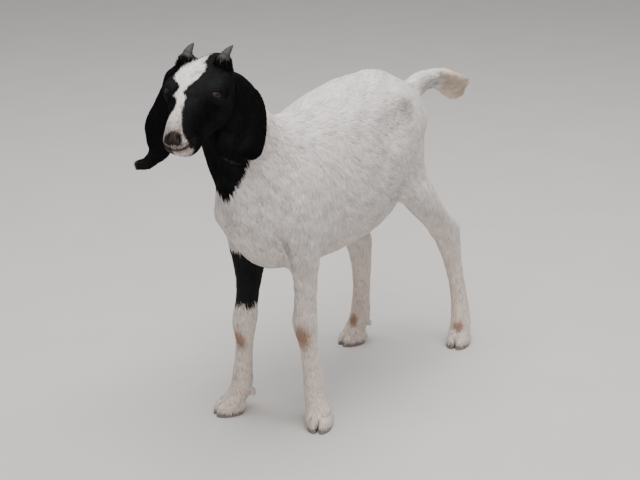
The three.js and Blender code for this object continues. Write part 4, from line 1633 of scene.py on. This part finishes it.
def tuft_sizes(points, shares):
    """Length, width and layers at each place: short on the feet, the muzzle and round the eyes, and
    long over the hooves, between the horns and in the tail's brush."""
    size = shares @ np.array([SIZES[part] for part in PARTS])
    foot = ramp(130, 40, points[:, 2])[:, None]
    size = size * (1 - foot * SHORTER["foot"])
    size[:, 0] *= 1 + 0.6 * ramp(32, 24, points[:, 2])
    s, up, _ = HEAD.into(points).T
    in_tail = (shares[:, PARTS.index("tail")] > 0.5) & (points[:, 0] < TAIL_ROOT)
    from_root = TAIL.into(points)[:, 0]
    brush = np.minimum(12 + 18 * ramp(10, 90, from_root), TAIL_LENGTH + 8 - from_root)
    size[:, 0] = np.where(in_tail, np.maximum(brush, 8), size[:, 0])
    muzzle = (head_share(points) * ramp(95, 135, s))[:, None]
    size = size * (1 - muzzle * SHORTER["muzzle"])
    for eye in eyes.values():
        near = ramp(20, 11, eye.distance(points))[:, None]
        size = size * (1 - near * SHORTER["eye"])
    crown = (bell(s - 4, 16) * ramp(-16, -4, up))[:, None]
    return size * (1 + crown * LONG_CROWN)


print("at the poll:", tuft_sizes(poll_and_withers, shares_of(poll_and_withers))[0].round(2))


# %% Planting and making tufts
def plant(points, triangles, density, rng):
    """Random places on the triangles: each gets density times its area of them, as a number and the
    weights of its three corners."""
    corner = points[triangles]
    area = np.linalg.norm(np.cross(corner[:, 1] - corner[:, 0], corner[:, 2] - corner[:, 0]), axis=1) / 2
    expected = area * density[triangles].mean(1)
    count = np.floor(expected + rng.random(len(expected))).astype(int)
    chosen = np.repeat(np.arange(len(triangles)), count)
    a, b = rng.random((2, len(chosen)))
    flip = a + b > 1
    a, b = np.where(flip, 1 - a, a), np.where(flip, 1 - b, b)
    return chosen, np.stack([1 - a - b, a, b], -1)


def normals_of(points, triangles):
    """Each vertex's normal: the mean of those of its triangles, weighed by their areas."""
    corner = points[triangles]
    face = np.cross(corner[:, 1] - corner[:, 0], corner[:, 2] - corner[:, 0])
    normal = np.zeros_like(points)
    for n in range(3):
        for axis in range(3):
            normal[:, axis] += np.bincount(triangles[:, n], face[:, axis], len(points))
    return unit(normal)


def coat_piece(name, slot, tufts):
    """Makes one mesh of wedges. The ridge is kept above the straight line from root to tip. A wedge's
    shading is rounded: at its root corners the normals lean out to both sides of the direction that
    is square to it."""
    root, normal, size, tip = (tufts[key] for key in ("root", "normal", "size", "tip"))
    side = unit(np.cross(normal, tip - root))
    across = side * (size[:, 1:2] / 2)
    along = unit(tip - root)
    square = unit(normal - along * (normal * along).sum(1, keepdims=True))
    chord = root + (tip - root) * RIDGE_AT
    height = ((tufts["ridge"] - chord) * square).sum(1, keepdims=True)
    ridge = chord + square * np.maximum(height, RIDGE_LEAST[0] + RIDGE_LEAST[1] * size[:, 1:2])
    corners = np.stack([root - across, root + across, ridge, tip], 1)
    faces = (np.arange(len(root))[:, None, None] * 4 + WEDGE).reshape(-1, 3)
    piece = new_object(name, corners.reshape(-1, 3), faces)
    store(piece.data, "tint", np.repeat(tufts["colour"], 4, axis=0))
    patches = (tufts["unwrap"][:, None] + PATCH).reshape(-1, 2)
    layer = piece.data.uv_layers.new(name="OFBake")
    layer.data.foreach_set("uv", patches[faces.ravel()].astype(np.float32).ravel())
    lean = ROUNDING * side
    shade = np.stack([square - lean, square + lean, square, square + 0.25 * along], 1)
    shade = unit(shade)[:, WEDGE]
    shade[:, 3] = -square[:, None]  # the underside
    piece.data.normals_split_custom_set(shade.reshape(-1, 3))
    piece.data.materials.append(HAIR[slot])
    print(name, "has", len(root), "tufts,", len(faces), "triangles")


# %% Planting the body
rng = np.random.default_rng(20)
body_normals = normals_of(settled, body_triangles)
body_shares = shares_of(settled)
vertex_sizes = tuft_sizes(settled, body_shares)
bare = bare_share(settled)
density = 2 * vertex_sizes[:, 2] / (vertex_sizes[:, 0] * vertex_sizes[:, 1]) * (1 - ramp(0.3, 0.7, bare))


def off_the_hooves(points):
    """1 on skin, and 0 on its cut ends over the hooves."""
    keep = np.ones(len(points))
    for foot in feet.values():
        over, near = by_coronet(foot, points)
        keep[near] = np.minimum(keep[near], ramp(0.4, 1.2, over[near]))
    return keep


density *= off_the_hooves(settled)
chosen, weights = plant(settled, body_triangles, density, rng)


def at_roots(values):
    """What the three corners have, weighed at each root."""
    return (values[body_triangles[chosen]] * weights[..., None]).sum(1)


root = at_roots(settled)
normal = unit(at_roots(body_normals))
share = at_roots(body_shares)
size = tuft_sizes(root, share)
size[:, :2] *= np.exp(rng.normal(0, 0.16, (len(root), 2)))
on_head = share[:, PARTS.index("head")] > 0.5
on_tail = share[:, PARTS.index("tail")] > 0.5
print(len(root), "roots on the body")


# %% Locks
LOCK_WIDTH = 6.5  # millimetres
GATHER = 0.42  # how far a lock's tips are drawn together


def locks_of(points, across):
    """The number of the lock that each point is in: a jumbled lattice of cells that wide."""
    jumble = np.stack([waves(points, 9, seed) for seed in (31, 32, 33)], -1)
    cells = np.floor((points + 0.5 * across * jumble) / across)
    return np.unique(cells, axis=0, return_inverse=True)[1].reshape(-1)


def mean_in(groups, values):
    """For each row of values, the mean over its group."""
    count = np.bincount(groups)
    means = np.stack([np.bincount(groups, column) / count for column in values.T], -1)
    return means[groups]


lock = locks_of(root, LOCK_WIDTH)
lock_chance = rng.normal(0, 1, lock.max() + 1)[lock]
tone = 0.8 * rng.normal(0, 1, len(root)) + 0.6 * lock_chance
print("locks:", lock.max() + 1)

# %% Laying them down
TAIL_MIDDLE = 438

lie = lie_of(root, share)
lie = unit(lie - normal * (lie * normal).sum(1, keepdims=True))
sideways = np.cross(normal, lie)
turn = 0.20 * waves(root, 18, 21) + 0.10 * waves(root, 7, 22)
turn += rng.normal(0, 0.06, len(root)) + 0.06 * lock_chance
hip = bell(root[:, 0] + 90, 60) * ramp(400, 440, root[:, 2]) * ~on_tail
turn += 0.6 * hip * waves(root, 24, 23)
lie = unit(lie + sideways * turn[:, None])
in_tail = TAIL.into(root) - [0, TAIL_MIDDLE, 0]
at_end = (np.clip(normal @ TAIL.along, 0, 1) * on_tail * ramp(60, 120, in_tail[:, 0]))[:, None]
outwards = unit(in_tail * [0, 1, 1]) @ TAIL.axes
normal = unit(normal * (1 - at_end) + outwards * at_end)  # the tail's end is a brush, with no end face
lie = lie * (1 - at_end) + TAIL.along * at_end
lie = unit(lie - normal * (lie * normal).sum(1, keepdims=True))
depth = coat_depth(root)
rise = rng.uniform(0.25, 1.0, len(root)) ** 0.8
relief = 0.5 + 0.5 * np.tanh(2.6 * waves(root, 26, 24) + 1.6 * waves(root, 9, 25))
rise *= 1 - (0.55 + 0.35 * hip) * (1 - relief) * ~on_head


def raised(points, level, part=1.0):
    """Moves points along the roots' normals until the coat's outline is that far over them, as far as
    their length allows: from a quarter of it under the root to about a fifth over the coat."""
    start = ((points - root) * normal).sum(1)
    up = start
    for _ in range(2):
        here = points + normal * (up - start)[:, None]
        up = up - np.clip(solid_field(here) + level, -8, 8)
    up = np.clip(up, -0.25 * size[:, 0] * part, (0.22 * size[:, 0] + depth) * part)
    return points + normal * ((up - start) * (1 - at_end[:, 0]))[:, None]


flat_tip = root + lie * size[:, :1]
gather = np.where(on_head, 0.0, GATHER)[:, None]
flat_tip = flat_tip + (mean_in(lock, flat_tip) - flat_tip) * gather
tip = raised(flat_tip, depth * (1 - rise) + 0.1 - 1.2 * ramp(30, 20, root[:, 2]))
ridge = raised(root + (flat_tip - root) * RIDGE_AT, depth * (1 - 0.75 * rise), 0.6)
tip[:, 2] += 6 * ramp(70, 190, TAIL.into(root)[:, 0]) * on_tail * rise
near_horn = np.zeros(len(root))
for side in (LEFT, RIGHT):
    base = HEAD.out(HORN_PLACE * [1, 1, side])
    near_horn = np.maximum(near_horn, bell(np.linalg.norm(root - base, axis=1), 17))
tip += (3.0 * near_horn * rise)[:, None] * unit(HEAD.up - 0.8 * HEAD.along)
body_tufts = {
    "root": root - normal * 0.3,
    "normal": normal,
    "size": size,
    "ridge": ridge,
    "tip": tip,
    "colour": hair_colour(root + (tip - root) * 0.45, tone),
}
print("tips stand", np.round(np.percentile(((tip - root) * normal).sum(1), [5, 50, 95]), 2), "mm up")


# %% [markdown]
# Each coat piece covers one part and has its own unwrap: the way along the part, and the angle round
# it. Every tuft takes its colour patch from its root's place there.

# %% Body coat pieces
def unwrap_round(place, middle, length, points):
    """Along the part, and the angle round its middle line, each as a share from 0.02 to 0.97."""
    s, up, left = place.into(points).T
    along = np.clip((s - length[0]) / (length[1] - length[0]), 0, 1)
    round_it = np.arctan2(left, up - middle) / (2 * np.pi) + 0.5
    return 0.02 + 0.95 * np.stack([along, round_it], -1)


def unwrap_legs(points):
    """Each leg takes half of the square: its height along, and the angle round it."""
    x, y, z = points.T
    middle_x = np.where(y > 0, x[y > 0].mean(), x[y <= 0].mean())
    middle_y = np.where(y > 0, y[y > 0].mean(), y[y <= 0].mean())
    half = np.where(y > 0, 0.5, 0.0)
    round_it = (np.arctan2(y - middle_y, x - middle_x) / (2 * np.pi) + 0.5) * 0.47
    return 0.02 + 0.95 * np.stack([np.clip(z / 300, 0, 1), half + round_it], -1)


most = np.argmax(share, axis=1)
head_left = HEAD.into(root)[:, 2]
on = {part: most == PARTS.index(part) for part in PARTS}
low_leg = on["leg"] & (root[:, 2] < 245)
flank = on["trunk"] | (on["leg"] & ~low_leg)
unwraps = {
    "trunk": lambda p: unwrap_round(FLOOR, 375, [-220, 300], p),
    "neck": lambda p: unwrap_round(NECK, -20, [-30, 210], p),
    "head": lambda p: unwrap_round(HEAD, -35, [-60, 160], p),
    "tail": lambda p: unwrap_round(TAIL, 455, [-30, 190], p),
    "leg": unwrap_legs,
}
body_pieces = {
    "coat_flank_left": (flank & (root[:, 1] >= 0), "trunk", "coat_white"),
    "coat_flank_right": (flank & (root[:, 1] < 0), "trunk", "coat_white"),
    "coat_neck": (on["neck"], "neck", "coat_black"),
    "coat_face_left": (on["head"] & (head_left >= -5), "head", "coat_black"),
    "coat_face_right": (on["head"] & (head_left < -5), "head", "coat_black"),
    "coat_tail": (on["tail"], "tail", "coat_cream"),
    "coat_forelegs": (low_leg & (root[:, 0] > 0), "leg", "coat_cream"),
    "coat_hindlegs": (low_leg & (root[:, 0] <= 0), "leg", "coat_cream"),
}
for name, (mask, part, slot) in body_pieces.items():
    tufts = {key: values[mask] for key, values in body_tufts.items()}
    tufts["unwrap"] = unwraps[part](root[mask])
    coat_piece(name, slot, tufts)

# %% [markdown]
# The ears' hair is short and runs from root to tip on both faces. An ear is a grid already, so its
# tufts are planted on the grid's triangles and lie along its rings. The same is done where hair
# hangs over the tops of the hooves, and where it climbs a little way up the horns.

# %% Hair on a grid
def tufts_on(places, size, rise, seed, covered, backwards=False):
    """Tufts on a grid of places[ring, side]. covered(points, share along) is their share of the full
    density, and rise is how high their tips stand, from and to."""
    rng = np.random.default_rng(seed)
    rings, sides = places.shape[:2]
    points = places.reshape(-1, 3)
    quads = tube_faces(rings, sides)
    triangles = np.concatenate([quads[:, [0, 1, 2]], quads[:, [0, 2, 3]]])
    normals = normals_of(points, triangles)
    if ((points - np.repeat(places.mean(1), sides, axis=0)) * normals).sum() < 0:
        normals = -normals
    along = unit(np.gradient(places, axis=0)).reshape(-1, 3)
    length, width, layers = size
    ring_share = np.repeat(np.linspace(0, 1, rings), sides)
    density = 2 * layers / (length * width) * covered(points, ring_share)
    chosen, weights = plant(points, triangles, density, rng)

    def at(values):
        return (values[triangles[chosen]] * weights[..., None]).sum(1)

    root, normal, lie = at(points), unit(at(normals)), at(along) * (-1 if backwards else 1)
    lie = unit(lie - normal * (lie * normal).sum(1, keepdims=True))
    turn = 0.2 * waves(root, 14, 41) + rng.normal(0, 0.1, len(root))
    lie = unit(lie + np.cross(normal, lie) * turn[:, None])
    size = np.array([length, width, 1]) * np.exp(rng.normal(0, 0.15, (len(root), 3)))
    ring = at(ring_share[:, None])[:, 0]
    left_over = (rings - 1) * (ring if backwards else 1 - ring)
    spacing = np.linalg.norm(np.diff(places.mean(1), axis=0), axis=1).mean()
    size[:, 0] = np.minimum(size[:, 0], 2 + left_over * spacing)
    height = rng.uniform(*rise, len(root))[:, None]
    return {
        "root": root - normal * 0.2,
        "normal": normal,
        "size": size,
        "ridge": root + lie * size[:, :1] * RIDGE_AT + normal * (height * 0.7 + 0.1),
        "tip": root + lie * size[:, :1] + normal * height,
        "tone": rng.normal(0, 1, len(root)),
        "ring": ring,
        "unwrap": np.stack([ring, (triangles[chosen][:, 0] % sides) / sides], -1),
    }


# %% Ear coats
EAR_HAIR = [6.5, 1.1, 3.4]  # length, width and layers
EAR_RISE = (0.3, 0.9)
# A painted highlight on the hair along the ear's rim, near its tip.
EAR_RIM_HIGHLIGHT = np.array([0.07, 0.06, 0.055])  # added to the colour at the tip


def everywhere(points, share):
    """The full density at each place."""
    return np.ones(len(points))


for n, (name, sheet) in enumerate(ear_sheets.items()):
    tufts = tufts_on(sheet, EAR_HAIR, EAR_RISE, 40 + n, everywhere)
    rim = ramp(0.95, 0.985, tufts["ring"])[:, None]
    tufts["colour"] = black_hair(tufts["tone"]) + EAR_RIM_HIGHLIGHT * rim
    tufts["unwrap"] = 0.02 + 0.95 * tufts["unwrap"]
    coat_piece(f"coat_ear_{name}", "coat_black", tufts)

# %% Round the horns and over the hooves
HORN_HAIR, HOOF_HAIR, SPUR_HAIR = [6.5, 1.2, 3.6], [8.0, 1.3, 4.0], [7.0, 1.2, 3.5]
HORN_RISE, HOOF_RISE, SPUR_RISE = (0.4, 1.4), (0.6, 1.8), (0.5, 1.4)


def joined(groups, cells):
    """Several groups of tufts as one, each with its own cell of the unwrap's square."""
    for n, tufts in enumerate(groups):
        corner = np.array([n % cells, n // cells]) / cells
        tufts["unwrap"] = corner + (0.04 + 0.88 * tufts["unwrap"]) / cells
    return {key: np.concatenate([tufts[key] for tufts in groups]) for key in groups[0]}


def low_on_horn(points, share):
    """Full below a quarter of the horn, and none over a third, with a ragged edge."""
    return ramp(0.36, 0.24, share + 0.06 * waves(points, 7, 44))


def high_on_hoof(points, share):
    """Full over 13 mm above the floor and none under 10, with a ragged edge, nor on the flat top."""
    return ramp(10, 13, points[:, 2] + 1.5 * waves(points, 8, 45)) * (points[:, 2] < 23.5)


def whole_spur(points, share):
    """Thin at the point of a dewclaw, which stays bare."""
    return ramp(0.22, 0.45, share)


horn_tufts = []
for side in (LEFT, RIGHT):
    horn_tufts.append(tufts_on(horn_places(side), HORN_HAIR, HORN_RISE, 50 + side, low_on_horn))
horn_tufts = joined(horn_tufts, 2)
horn_tufts["colour"] = black_hair(horn_tufts["tone"])
coat_piece("coat_horn_bases", "coat_black", horn_tufts)
foot_tufts = []
for n, foot in enumerate(feet.values()):
    for side in (LEFT, RIGHT):
        seed = 60 + 4 * n + side
        claw, spur = claw_places(foot, side), dewclaw_places(foot, side)
        foot_tufts.append(tufts_on(claw, HOOF_HAIR, HOOF_RISE, seed, high_on_hoof, backwards=True))
        foot_tufts.append(tufts_on(spur, SPUR_HAIR, SPUR_RISE, seed + 20, whole_spur, backwards=True))
foot_tufts = joined(foot_tufts, 4)
foot_tufts["colour"] = hair_colour(foot_tufts["root"], foot_tufts["tone"])
coat_piece("coat_feet", "coat_cream", foot_tufts)

# %% [markdown]
# ## The skin's finish
#
# The skin has the same markings as the hair, darker, since it lies in the shade of the coat. It is
# mottled and fine-grained where it is bare: on the pad of the nose, the lips' edges and the lids.

# %% Skin
def skin_finish():
    """The skin's own colour with blotches, pores and, where it is bare, a damp gloss."""
    f = Finish("skin")
    pores = f.noise(1100, detail=2)
    blotches = f.noise(420, detail=4)
    dark = f.between(0.35, 0.75, blotches) * 0.35
    colour = f.mix(dark, f.attribute("tint", "Color"), (0.02, 0.015, 0.015, 1))
    bare = f.attribute("bare")
    return f.surface({
        "Base Color": colour,
        "Roughness": 0.8 - 0.38 * bare,
        "Specular IOR Level": 0.12,
        "Normal": f.bump(pores, 0.5, 0.0005),
    })


# %% The skin's colours
UNDER_COAT = np.array([0.66, 0.58, 0.54])  # the skin's colour as shares of the hair's
LID_SKIN = 1.6 * BLACK_HAIR


def bare_colour(points):
    """Dark lids, a brown pad with painted shade below and in the nostrils, and lips mottled with pink."""
    s, up, left = HEAD.into(points).T
    hollow, _ = nostrils(s, up, left - MUZZLE_MIDDLE)
    on_nose = ramp(110, 116, s)
    # painted shade on the lower part of the nose pad
    colour = towards(LID_SKIN, NOSE_PAD, on_nose) * (1 - 0.6 * on_nose * ramp(-8, -14, up))[:, None]
    pink = ramp(-15, -18, up) * ramp(-0.4, 0.4, waves(points, 4, 61) + 0.25) * on_nose
    # painted shade in the nostrils
    return towards(towards(colour, PINK_LIP, pink), HOLLOW_SHADE, np.clip(3.2 * hollow - 0.3, 0, 1))


def skin_colour(points):
    """The hair's colour but darker, the bare skin's own, and painted shade in the line between the lips.
    """
    tone = 1.1 * np.random.default_rng(60).normal(0, 1, len(points))
    s, up, _ = HEAD.into(points).T
    colour = towards(hair_colour(points, tone) * UNDER_COAT, bare_colour(points), bare_share(points))
    # painted shade in the line between the lips
    return towards(colour, HOLLOW_SHADE, bell(over_mouth(s, up), 2.2) * ramp(110, 116, s))


skin_points = places_of(skin.data)
tint = skin_colour(skin_points)
tint[len(settled) :] = BLACK_HAIR  # the ears
store(skin.data, "tint", tint)
store(skin.data, "bare", bare_share(skin_points))
skin.data.materials.append(skin_finish())
print("the skin has", len(triangles_of(skin.data)), "triangles")

# %% [markdown]
# ## The stage
#
# A plain pale floor, a large soft light above and a weaker one from the camera's side. The camera
# stands a little over two metres from the goat's left shoulder, a metre up, and looks down on it.

# %% Floor, light and camera
def add_floor():
    """A wide plane at the level that the hooves stand on."""
    f = Finish("floor")
    patches = f.noise(7)
    colour = f.mix(patches, (0.62, 0.59, 0.56, 1), (0.68, 0.65, 0.62, 1))
    f.surface({"Base Color": colour, "Roughness": 0.9})
    mesh = bpy.data.meshes.new("floor")
    mesh.from_pydata([(-8, -8, 0), (8, -8, 0), (8, 8, 0), (-8, 8, 0)], [], [(0, 1, 2, 3)])
    mesh.materials.append(f.material)
    floor = bpy.data.objects.new("floor", mesh)
    bpy.context.scene.collection.objects.link(floor)


def add_light(name, place, target, size, power):
    """A square area light that faces its target."""
    light = bpy.data.lights.new(name, "AREA")
    light.shape = "SQUARE"
    light.size, light.energy = size, power
    lamp = bpy.data.objects.new(name, light)
    lamp.location = place
    lamp.rotation_euler = (Vector(target) - Vector(place)).to_track_quat("-Z", "Y").to_euler()
    bpy.context.scene.collection.objects.link(lamp)


CAMERA = np.array([1.6214, 1.221, 1.0])
CAMERA_DIP = np.radians(20)
CAMERA_AHEAD = unit([-0.795, -0.606])
CAMERA_LENS = 77  # millimetres, on a 36 millimetre sensor


def add_camera():
    """The camera's direction is level ahead times cos(dip), and down by sin(dip)."""
    ahead = Vector([*(CAMERA_AHEAD * np.cos(CAMERA_DIP)), -np.sin(CAMERA_DIP)])
    lens = bpy.data.cameras.new("camera")
    lens.lens = CAMERA_LENS
    camera = bpy.data.objects.new("camera", lens)
    camera.location = CAMERA
    camera.rotation_euler = ahead.to_track_quat("-Z", "Y").to_euler()
    bpy.context.scene.collection.objects.link(camera)
    bpy.context.scene.camera = camera


add_floor()
add_light("sky", (0.1, 0.3, 3.0), (0, 0, 0.3), 2.6, 128)
add_light("window", (2.2, 1.6, 1.9), (0, 0, 0.35), 2.4, 20)
world = bpy.data.worlds.new("studio")
world.use_nodes = True
world.node_tree.nodes["Background"].inputs["Color"].default_value = (0.93, 0.96, 1.0, 1)
world.node_tree.nodes["Background"].inputs["Strength"].default_value = 0.42
bpy.context.scene.world = world
add_camera()
print("the camera is", round(float(np.linalg.norm(CAMERA - [0, 0, 0.3])), 2), "m from the goat's middle")

# %% [markdown]
# ## Sizes, and the end
#
# The solids' box, from corner to corner, in metres. The dressed goat has to stay within
# the solids' box, apart from a little fur.

# %% Sizes
print("solids ", np.round(cad_box, 4).tolist())
